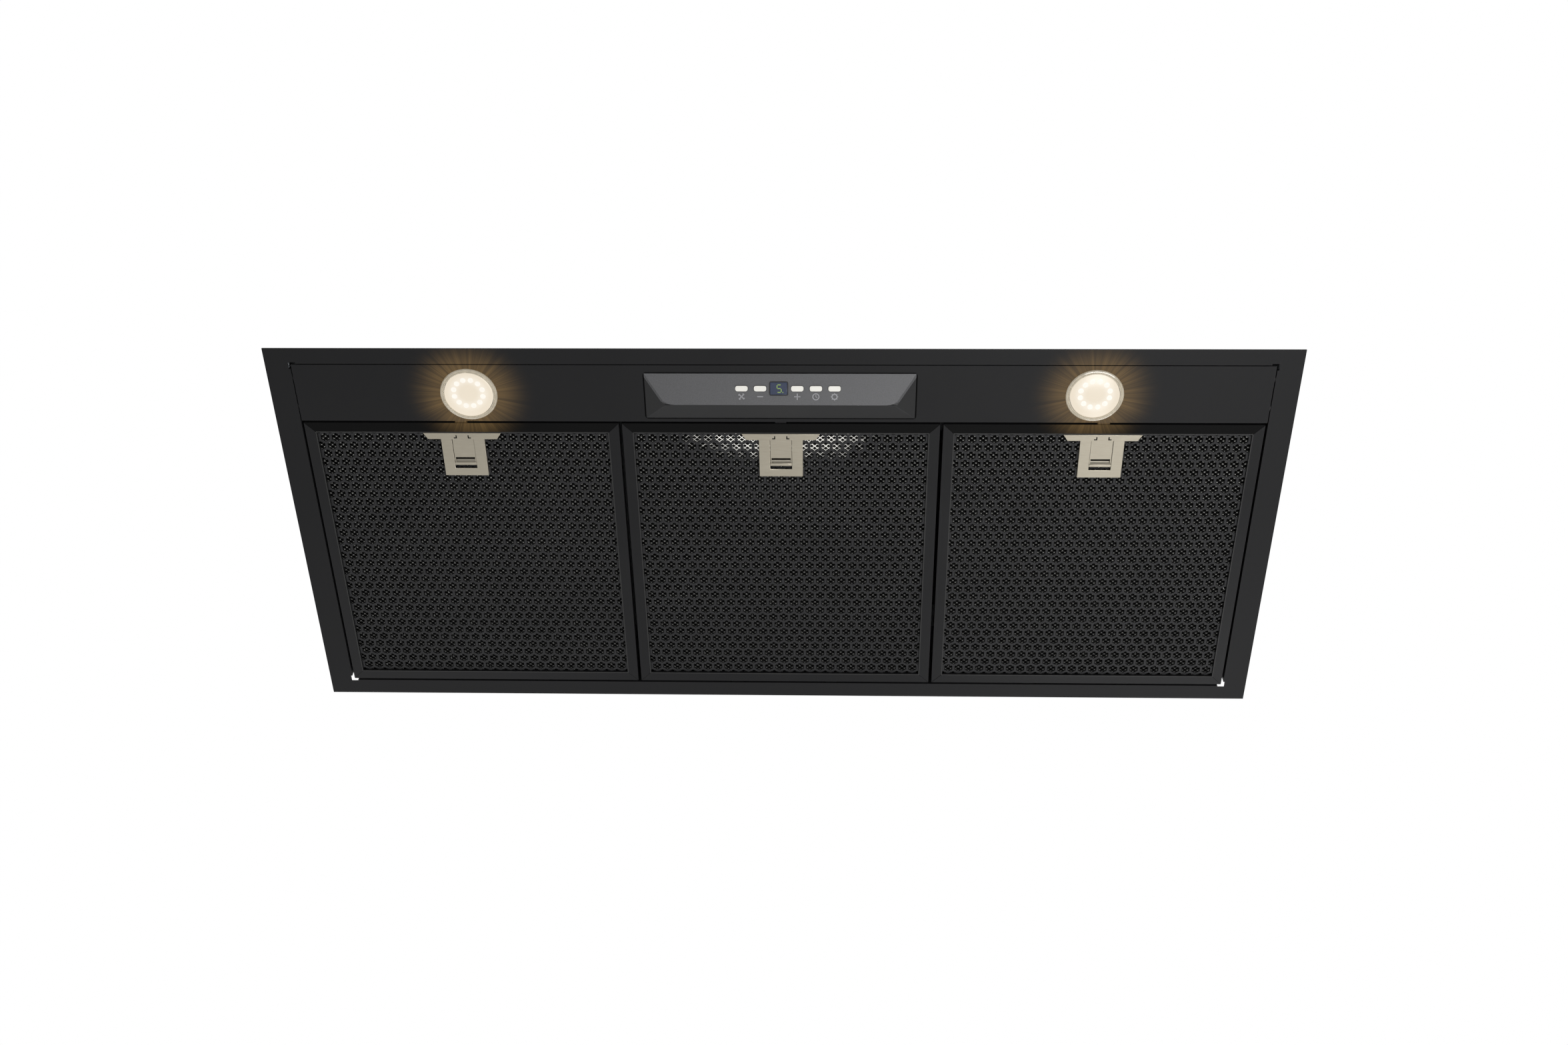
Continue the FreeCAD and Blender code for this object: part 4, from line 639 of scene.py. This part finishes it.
glint = add_node(strand_tree, "ShaderNodeMath", {0: knuckle, 1: glint_share}, operation="MULTIPLY").outputs[0]
strand_base = add_node(strand_tree, "ShaderNodeMix", {0: toward_front, 6: linear(MESH_REAR),
                                                      7: linear(MESH_STRAND)}, data_type="RGBA").outputs[2]
strand_tint = add_node(strand_tree, "ShaderNodeMix", {0: glint, 6: strand_base, 7: linear(KNUCKLE_GLINT)},
                       data_type="RGBA").outputs[2]
# The patch by the middle latch is painted light: white strands that glow.
from_bright = add_node(strand_tree, "ShaderNodeVectorMath", {0: strand_place, 1: BRIGHT_MIDDLE},
                       operation="SUBTRACT").outputs[0]
bright_scaled = add_node(strand_tree, "ShaderNodeVectorMath", {0: from_bright, 1: BRIGHT_REACH},
                         operation="MULTIPLY").outputs[0]
bright_reach = add_node(strand_tree, "ShaderNodeVectorMath", {0: bright_scaled},
                        operation="LENGTH").outputs["Value"]
flecks = add_node(strand_tree, "ShaderNodeTexNoise", {"Vector": strand_place, "Scale": per_metre(FLECK_MM),
                                                      "Detail": 2.0}).outputs[0]
ragged = add_node(strand_tree, "ShaderNodeMath", {0: bright_reach, 1: flecks}, operation="ADD").outputs[0]
bright_patch = add_node(strand_tree, "ShaderNodeMapRange", {"Value": ragged, "From Min": 1.1, "From Max": 1.5,
                                                     "To Min": 1.0, "To Max": 0.0}).outputs[0]
strand_final = add_node(strand_tree, "ShaderNodeMix", {0: bright_patch, 6: strand_tint, 7: linear(MESH_BRIGHT)},
                        data_type="RGBA").outputs[2]
strand_tree.links.new(strand_final, strand_shader.inputs["Base Color"])
strand_glow = add_node(strand_tree, "ShaderNodeMath", {0: bright_patch, 1: BRIGHT_GLOW},
                       operation="MULTIPLY").outputs[0]
strand_tree.links.new(strand_glow, strand_shader.inputs["Emission Strength"])


def moulded(name, low, high, roughness, grain_mm, **sockets):
    """A surface with a fine grain that shows in its shade and a little in its relief."""
    return mottled(name, low, high, grain_mm, 3.0, (0.04, 0.4), Roughness=roughness, **sockets)


# The deep layer is nearly black and barely glossy: painted shade for the dark depth of the pack. The guard at
# the back is plain, dull grey.
deep_strands = moulded("deep_shade_aluminium", "#030303", "#080808", 0.7, 3, Specular_IOR_Level=0.03)
back_strands = moulded("dull_aluminium", "#6c6c6a", "#80807d", 0.4, 3)


def expanded(shift, height, thickness, spread):
    """A layer of slit and stretched sheet: a field of diamonds made into strands."""
    bm = bmesh.new()
    wide, long = DIAMOND_WIDE * spread, DIAMOND_LONG * spread
    reach = FILTER_HALF / wide + (FILTER_REAR - FILTER_FRONT) / 2 / long
    cells_across = 2 * math.ceil(reach) + 2
    bmesh.ops.create_grid(bm, x_segments=cells_across, y_segments=cells_across, size=cells_across / 2)
    skew = Matrix(((wide / 2, wide / 2, 0, shift), (-long / 2, long / 2, 0, comb_middle),
                   (0, 0, 1, height), (0, 0, 0, 1)))
    bmesh.ops.transform(bm, matrix=skew, verts=bm.verts)
    trim(bm, FILTER_HALF, FILTER_FRONT, FILTER_REAR)
    bmesh.ops.wireframe(bm, faces=bm.faces, thickness=thickness, offset=0, use_replace=True,
                        use_boundary=True, use_even_offset=True)
    return bm


layers = (("front", 0, FRONT_LAYER, STRAND, 1, strands),
          ("rear", DIAMOND_WIDE / 2, REAR_LAYER, DEEP_STRAND, 1, deep_strands),
          ("back", 0, BACK_LAYER, BACK_STRAND, BACK_SPREAD, back_strands))
for layer, shift, height, strand, spread, finish in layers:
    pack = expanded(shift, height, strand, spread)
    for side, middle in FILTERS.items():
        copy = pack.copy()
        bmesh.ops.translate(copy, verts=copy.verts, vec=(middle, 0, 0))
        mesh_layer = piece(f"mesh_{layer}_{side}", copy, finish, f"filter_{side}")
        if layer == "front":
            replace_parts(mesh_layer, f"filter_mesh_{side}")
    pack.free()

# Latches: a pressed T-shaped plate of satin stainless on each filter, with a slider in its
# window. The slider's rolled bar is for a fingertip, and its tongue locks under the strip.
BRUSH_MM = 0.5
BRUSH_STRETCH = (0.06, 1, 1)
BAR_LOW = -1.95 * MM
BAR_LONG = 10 * MM
TONGUE_START = -109.5 * MM
SCOOP_HALF = 8.6 * MM
SCOOP_SHEET = 0.3 * MM
SCOOP_CURVE = ((-82.6, -0.9), (-82.2, 0.1), (-81.2, 0.7), (-79.9, 0.9), (-78.8, 0.5), (-78.2, -0.4),
               (-77.8, -1.1))
SHADE_END = -79.9 * MM
LIGHT_START = -78.7 * MM
PLATE_FACE = -2.22 * MM
SLIT_APART = 5.4 * MM
SLIT_Y = -104.6 * MM
SLIT_DEEP = 0.06 * MM
STEM = {"reach": 0.0, "rise": 0.0, "wide": 1.0 * MM, "tall": 3.0 * MM}
HOOK = {"reach": 0.9 * MM, "rise": 1.2 * MM, "wide": 2.8 * MM, "tall": 1.0 * MM}

# Satin stainless is a warm, pale grey with a fine brushed line along the plate.
stainless, steel_tree, steel_shader, steel_place = new_finish("satin_stainless", Metallic=0.9)
steel_stretch = add_node(steel_tree, "ShaderNodeMapping", {"Vector": steel_place,
                                                           "Scale": BRUSH_STRETCH}).outputs[0]
steel_brush = add_node(steel_tree, "ShaderNodeTexNoise", {"Vector": steel_stretch,
                                                          "Scale": per_metre(BRUSH_MM),
                                                          "Detail": 3.0}).outputs[0]
steel_tint = add_node(steel_tree, "ShaderNodeMix", {0: steel_brush, 6: linear("#968f81"),
                                                    7: linear("#a8a293")}, data_type="RGBA")
steel_tree.links.new(steel_tint.outputs[2], steel_shader.inputs["Base Color"])
steel_rough = add_node(steel_tree, "ShaderNodeMapRange", {"Value": steel_brush, "To Min": 0.32,
                                                          "To Max": 0.5}).outputs[0]
steel_tree.links.new(steel_rough, steel_shader.inputs["Roughness"])
bumped(steel_tree, steel_shader, steel_brush, 0.02, 0.3)
# The scoop behind the bar is painted near black at its bottom, fading to pale at its lip: painted shade in
# the hollow.
scoop_shade_steel, hollow_tree, hollow_shader, hollow_place = new_finish(
    "shaded_stainless", Metallic=0.8, Roughness=0.5, Specular_IOR_Level=0.1)
hollow_y = add_node(hollow_tree, "ShaderNodeSeparateXYZ", {0: hollow_place}).outputs["Y"]
scoop_shade_share = add_node(hollow_tree, "ShaderNodeMapRange", {"Value": hollow_y, "From Min": SHADE_END,
                                                            "From Max": LIGHT_START}).outputs[0]
scoop_shade_tint = add_node(hollow_tree, "ShaderNodeMix", {0: scoop_shade_share, 6: linear("#0d0b08"),
                                                      7: linear("#c4bdae")}, data_type="RGBA")
hollow_tree.links.new(scoop_shade_tint.outputs[2], hollow_shader.inputs["Base Color"])


def swept(path, vec):
    """A sheet without thickness, swept from a path of points by a vector."""
    bm = bmesh.new()
    points = [bm.verts.new(point) for point in path]
    edges = [bm.edges.new(pair) for pair in zip(points, points[1:])]
    moved = bmesh.ops.extrude_edge_only(bm, edges=edges)["geom"]
    bmesh.ops.translate(bm, vec=vec, verts=[part for part in moved if isinstance(part, bmesh.types.BMVert)])
    return bm


for side, middle in FILTERS.items():
    eased_node(f"latch_plate_{side}", 0.35, stainless, f"filter_{side}")
    slider = folded_copy(f"latch_slider_{side}")
    bar_edges = [edge for edge in slider.edges if all(vert.co.z < BAR_LOW for vert in edge.verts)
                 and abs(edge.verts[0].co.x - edge.verts[1].co.x) > BAR_LONG]
    ease(slider, 1.1, bar_edges, segments=5)
    ease(slider, 0.15, sharper_than=60)
    rolled = piece(f"latch_slider_{side}_eased", slider, stainless, f"latch_{side}")
    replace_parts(rolled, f"latch_slider_{side}")
    rolled.data.materials.append(black_coat)
    for polygon in rolled.data.polygons:
        if polygon.center.y < TONGUE_START:
            polygon.material_index = 1
    scoop = swept([(middle - SCOOP_HALF, y * MM, z * MM) for y, z in SCOOP_CURVE], (2 * SCOOP_HALF, 0, 0))
    bmesh.ops.solidify(scoop, geom=list(scoop.faces), thickness=SCOOP_SHEET)
    bmesh.ops.recalc_face_normals(scoop, faces=scoop.faces)
    curved(scoop, SOFT_CREASE)
    piece(f"latch_scoop_{side}", scoop, scoop_shade_steel, f"latch_{side}")
    # The slits in each plate are thin near-black boxes on its face: painted shade for the dark of the cuts.
    slits = bmesh.new()
    for outward in (-1, 1):
        for cut in (STEM, HOOK):
            cut_at = Matrix.Translation((middle + outward * (SLIT_APART + cut["reach"]), SLIT_Y + cut["rise"],
                                         PLATE_FACE))
            bmesh.ops.create_cube(slits, size=1, matrix=cut_at @ Matrix.Diagonal((cut["wide"], cut["tall"],
                                                                                 SLIT_DEEP, 1)))
    piece(f"latch_slits_{side}", slits, shade_black, f"filter_{side}")

# Plenum, motor chamber and blower housing: galvanised sheet, folded and riveted, with the
# large crystals of the zinc bath. Rivets and screws are bright zinc.
SPANGLE_MM = 11
HAZE_MM = 3
galvanised, zinc_tree, zinc_shader, zinc_place = new_finish("galvanised_sheet", Metallic=0.85)
spangle = add_node(zinc_tree, "ShaderNodeTexVoronoi", {"Vector": zinc_place, "Scale": per_metre(SPANGLE_MM)})
spangle_share = add_node(zinc_tree, "ShaderNodeSeparateColor", {0: spangle.outputs["Color"]}).outputs[0]
zinc_tint = add_node(zinc_tree, "ShaderNodeMix", {0: spangle_share, 6: linear("#979ca0"),
                                                  7: linear("#abafb2")}, data_type="RGBA")
zinc_tree.links.new(zinc_tint.outputs[2], zinc_shader.inputs["Base Color"])
zinc_rough = add_node(zinc_tree, "ShaderNodeMapRange", {"Value": spangle_share, "To Min": 0.3,
                                                        "To Max": 0.52}).outputs[0]
zinc_tree.links.new(zinc_rough, zinc_shader.inputs["Roughness"])
zinc_haze = add_node(zinc_tree, "ShaderNodeTexNoise", {"Vector": zinc_place,
                                                       "Scale": per_metre(HAZE_MM)}).outputs[0]
bumped(zinc_tree, zinc_shader, zinc_haze, 0.03, 0.3)
# The faces that look into the air space get a dull dark grey: painted shade for the dark inside the hood.
inner_shade_coat = powder_coat("painted_shade_inside", "#3c3d3e", "#48494a", 0.55, haloed=False, gloss=0.3)
AIR_SPACE = {"plenum_shell": Vector((0, 20, 45)) * MM, "plenum_end_left": Vector((0, 0, 45)) * MM,
             "plenum_end_right": Vector((0, 0, 45)) * MM, "motor_chamber": Vector((0, 45, 150)) * MM}
for name, middle in AIR_SPACE.items():
    inside_shaded = eased_node(name, 0.25, galvanised, "root")
    inside_shaded.data.materials.append(inner_shade_coat)
    for polygon in inside_shaded.data.polygons:
        if polygon.normal.z < 0.5 and polygon.normal.dot(middle - polygon.center) > 0:
            polygon.material_index = 1
dress(galvanised, "scroll_wrapper", "scroll_side_left", "scroll_side_right", "motor_bracket")
spigot = folded_copy("outlet_collar")
ease(spigot, 0.3)
curved(spigot)
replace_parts(piece("outlet_spigot", spigot, galvanised, "root"), "outlet_collar")

RIVET_STEP = 130 * MM
RIVET_RADIUS = 2.5 * MM
RIVET_HEAD = 1 * MM
RIVET_HEIGHT = 18.5 * MM
RIVET_FACES = ((-1, -179.5 * MM), (1, 178.5 * MM))
MANDREL_INSET = 0.9 * MM
MANDREL_DEEP = 0.6 * MM
WASHER_LOW = 4 * MM
WASHER_TOP = 3.6 * MM
WASHER_THICK = 0.8 * MM
HEX_RADIUS = 3.1 * MM
HEX_TALL = 1.9 * MM
HEX_MIDDLE = 1.55 * MM
CROWN_RIM = 0.5 * MM
CROWN_DEEP = 0.5 * MM
SCREW_PLACES = [(x * MM, y * MM, 95.8 * MM) for x in (-172, 0, 172) for y in (-73, 167)]
LID_SCREW_PLACES = [(x * MM, y * MM, 140 * MM) for x in (208, 322) for y in (-52, 22)]
# Fasteners are brighter and smoother than the sheet, with a faint wear.
zinc_bright = mottled("bright_zinc", "#a8aaab", "#c9cbcc", 1.5, relief=(0.02, 0.3), Metallic=1.0,
                      Roughness=0.3)


def top_face(bm):
    """The highest face of a form."""
    return max(bm.faces, key=lambda face: face.calc_center_median().z)


def rivet_head(sign, at):
    """The set head of a blind rivet, domed, with the hole its mandrel left."""
    bm = bmesh.new()
    bmesh.ops.create_cone(bm, cap_ends=True, segments=24, radius1=RIVET_RADIUS, radius2=RIVET_RADIUS,
                          depth=RIVET_HEAD, matrix=Matrix.Translation((0, 0, RIVET_HEAD / 2)))
    ease(bm, 0.7, edges=list(top_face(bm).edges), segments=4)
    crown = top_face(bm)
    bmesh.ops.inset_region(bm, faces=[crown], thickness=MANDREL_INSET, use_boundary=True)
    bmesh.ops.inset_region(bm, faces=[crown], thickness=0.1 * MM, depth=-MANDREL_DEEP, use_boundary=True)
    curved(bm)
    bmesh.ops.rotate(bm, cent=(0, 0, 0), matrix=Matrix.Rotation(-sign * math.pi / 2, 3, "X"), verts=bm.verts)
    bmesh.ops.translate(bm, vec=at, verts=bm.verts)
    return bm


def screw_head(at):
    """A sheet metal screw: a hexagon on its own washer, with a hollow crown."""
    bm = bmesh.new()
    bmesh.ops.create_cone(bm, cap_ends=True, segments=32, radius1=WASHER_LOW, radius2=WASHER_TOP,
                          depth=WASHER_THICK, matrix=Matrix.Translation((0, 0, WASHER_THICK / 2)))
    bmesh.ops.create_cone(bm, cap_ends=True, segments=6, radius1=HEX_RADIUS, radius2=HEX_RADIUS,
                          depth=HEX_TALL, matrix=Matrix.Translation((0, 0, HEX_MIDDLE)))
    crown = top_face(bm)
    bmesh.ops.inset_region(bm, faces=[crown], thickness=CROWN_RIM, use_boundary=True)
    bmesh.ops.inset_region(bm, faces=[crown], thickness=0.3 * MM, depth=-CROWN_DEEP, use_boundary=True)
    ease(bm, 0.15)
    bmesh.ops.translate(bm, vec=at, verts=bm.verts)
    return bm


def joined(forms):
    """Several finished forms as one mesh."""
    whole = bmesh.new()
    for form in forms:
        part = bpy.data.meshes.new("part")
        form.to_mesh(part)
        form.free()
        whole.from_mesh(part)
        bpy.data.meshes.remove(part)
    return whole


heads = joined(rivet_head(sign, (step * RIVET_STEP, face_y, RIVET_HEIGHT))
               for step in range(-3, 4) for sign, face_y in RIVET_FACES)
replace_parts(piece("rivet_heads", heads, zinc_bright, "root"), "plenum_rivets")
heads = joined(screw_head(place) for place in SCREW_PLACES)
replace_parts(piece("screw_heads", heads, zinc_bright, "root"), "chamber_screws")
heads = joined(screw_head(place) for place in LID_SCREW_PLACES)
piece("lid_screws", heads, zinc_bright, "root")
dress(zinc_bright, "flap_pins", "impeller_shaft", "capacitor", "lamp_housing_left", "lamp_housing_right")

# Corner brackets and slot covers: folded strips outside the collar. A galvanised angle closes the
# relief at each front corner, and a black channel keeps air out of each slot for a filter's tab.
BRACKET_X = 430.1 * MM
BRACKET_Y = -179.9 * MM
BRACKET_LOW = 0.2 * MM
BRACKET_LEG = 14 * MM
BRACKET_TALL = 11.5 * MM
BRACKET_SHEET = 0.6 * MM
COVER_HALF = 8.2 * MM
COVER_START = 177.8 * MM
COVER_END = 182.6 * MM
COVER_LOW = 0.1 * MM
COVER_TALL = 13.2 * MM
COVER_SHEET = 0.5 * MM
TAB_OFFSET = 46 * MM


def folded_strip(path, tall, sheet):
    """A strip of sheet that stands on a path of corners, folded at each."""
    bm = swept(path, (0, 0, tall))
    bmesh.ops.recalc_face_normals(bm, faces=bm.faces)
    bmesh.ops.solidify(bm, geom=list(bm.faces), thickness=sheet)
    bmesh.ops.recalc_face_normals(bm, faces=bm.faces)
    ease(bm, 0.15)
    return bm


for side, sign in (("left", -1), ("right", 1)):
    corner = Vector((sign * BRACKET_X, BRACKET_Y, BRACKET_LOW))
    legs = (corner + Vector((0, BRACKET_LEG, 0)), corner, corner - Vector((sign * BRACKET_LEG, 0, 0)))
    angle = folded_strip(legs, BRACKET_TALL, BRACKET_SHEET)
    piece(f"corner_bracket_{side}", angle, galvanised, "root")
covers = []
for middle in FILTERS.values():
    for shift in (-TAB_OFFSET, TAB_OFFSET):
        near, far = middle + shift - COVER_HALF, middle + shift + COVER_HALF
        channel = ((near, COVER_START, COVER_LOW), (near, COVER_END, COVER_LOW),
                   (far, COVER_END, COVER_LOW), (far, COVER_START, COVER_LOW))
        covers.append(folded_strip(channel, COVER_TALL, COVER_SHEET))
piece("slot_covers", joined(covers), black_coat, "root")

# Moulded and enamelled pieces inside: the wheel and flaps of dark polypropylene, the box for
# the wiring of white polycarbonate, the motor in dark enamel, and the circuit boards.
dark_polypropylene = moulded("dark_polypropylene", "#3a3b3d", "#45464a", 0.5, 1.5)
white_polycarbonate = moulded("white_polycarbonate", "#d6d6d2", "#e2e2de", 0.45, 1.5)
dark_enamel = moulded("dark_enamel", "#3c3f42", "#484b4f", 0.35, 2.5)
black_nylon = moulded("black_nylon", "#222223", "#2b2b2c", 0.5, 1.2)
board_green = moulded("circuit_board_green", "#1c5a34", "#23683e", 0.4, 2.0)
board_white = moulded("circuit_board_white", "#dcdcd8", "#e8e8e4", 0.45, 2.0)
dress(dark_polypropylene, "impeller", "impeller_blades", "flap_front", "flap_rear")
dress(dark_enamel, "motor")
dress(black_nylon, "cable_gland", "button_switches", "control_housing")
dress(board_green, "control_board")
dress(board_white, "lamp_board_left", "lamp_board_right")
dress(white_polycarbonate, "terminal_block")
for name in ("electronics_box", "electronics_lid"):
    eased_node(name, 0.8, white_polycarbonate, "root")

# Studio: a pale floor well below the hood and a white surround. Four soft lamps stand below
# the hood and two above it, and the camera looks up from under the front edge.
FLOOR_Z = -2.6
FLOOR_SIZE = 80.0
FLOOR_MOTTLE_MM = 700
SURROUND_LEVEL = 0.28
FLOOR_LEVEL = 0.4
CAMERA_AT = (0.04543, -0.85671, -1.26423)
CAMERA_TURN = (2.552700, -0.026387, 0.012264)
CAMERA_LENS = 37.9
SENSOR_WIDTH = 36.0


def seen_rays(tree):
    """One for the rays that show a surface itself: straight, mirrored or through glass."""
    rays = add_node(tree, "ShaderNodeLightPath").outputs
    seen = add_node(tree, "ShaderNodeMath", {0: rays["Is Camera Ray"], 1: rays["Is Glossy Ray"]},
                    operation="MAXIMUM").outputs[0]
    return add_node(tree, "ShaderNodeMath", {0: seen, 1: rays["Is Transmission Ray"]},
                    operation="MAXIMUM").outputs[0]


pale = mottled("pale_floor", "#e4e4e4", "#ececec", FLOOR_MOTTLE_MM, Roughness=0.8)
pale_tree = pale.node_tree
pale_level = add_node(pale_tree, "ShaderNodeMath", {0: seen_rays(pale_tree), 1: FLOOR_LEVEL},
                      operation="MULTIPLY").outputs[0]
pale_tree.links.new(pale_level, pale_tree.nodes["Principled BSDF"].inputs["Emission Strength"])
floor_bm = bmesh.new()
bmesh.ops.create_grid(floor_bm, x_segments=1, y_segments=1, size=FLOOR_SIZE / 2,
                      matrix=Matrix.Translation((0, 0, FLOOR_Z)))
floor_mesh = bpy.data.meshes.new("floor")
floor_bm.to_mesh(floor_mesh)
floor_bm.free()
floor = bpy.data.objects.new("floor", floor_mesh)
bpy.context.scene.collection.objects.link(floor)
floor_mesh.materials.append(pale)

world = bpy.data.worlds.new("white_surround")
bpy.context.scene.world = world
world.use_nodes = True
sky = world.node_tree
level = add_node(sky, "ShaderNodeMapRange", {"Value": seen_rays(sky), "To Min": SURROUND_LEVEL,
                                             "To Max": 1.0}).outputs[0]
surround = sky.nodes["Background"]
surround.inputs["Color"].default_value = (1, 1, 1, 1)
sky.links.new(level, surround.inputs["Strength"])


def soft_lamp(name, at, aim, size, power):
    """A square soft lamp that faces a point."""
    data = bpy.data.lights.new(name, "AREA")
    data.shape = "SQUARE"
    data.size = size
    data.energy = power
    made = bpy.data.objects.new(name, data)
    made.location = at
    made.rotation_euler = (Vector(aim) - Vector(at)).to_track_quat("-Z", "Y").to_euler()
    bpy.context.scene.collection.objects.link(made)


soft_lamp("key_lamp", (0.55, -0.2, -1.35), (0.05, 0.05, 0), 0.8, 14)
soft_lamp("rear_lamp_right", (0.75, 1.5, -1.3), (0.1, 0.1, 0), 0.7, 5)
soft_lamp("rear_lamp_left", (-0.9, 1.5, -1.3), (-0.2, 0.1, 0), 0.8, 2.5)
soft_lamp("fill_lamp", (-1.5, -0.8, -1.7), (0, 0, 0), 1.6, 5)
soft_lamp("top_lamp", (-1.2, 1.4, 2.6), (0, 0, 0.1), 2.6, 26)
soft_lamp("front_lamp", (0.8, -2.2, 1.2), (0, 0, 0.1), 1.8, 18)

camera_data = bpy.data.cameras.new("camera")
camera_data.sensor_width = SENSOR_WIDTH
camera_data.lens = CAMERA_LENS
camera = bpy.data.objects.new("camera", camera_data)
camera.location = CAMERA_AT
camera.rotation_euler = CAMERA_TURN
bpy.context.scene.collection.objects.link(camera)
bpy.context.scene.camera = camera
bpy.context.scene.view_settings.view_transform = "Standard"
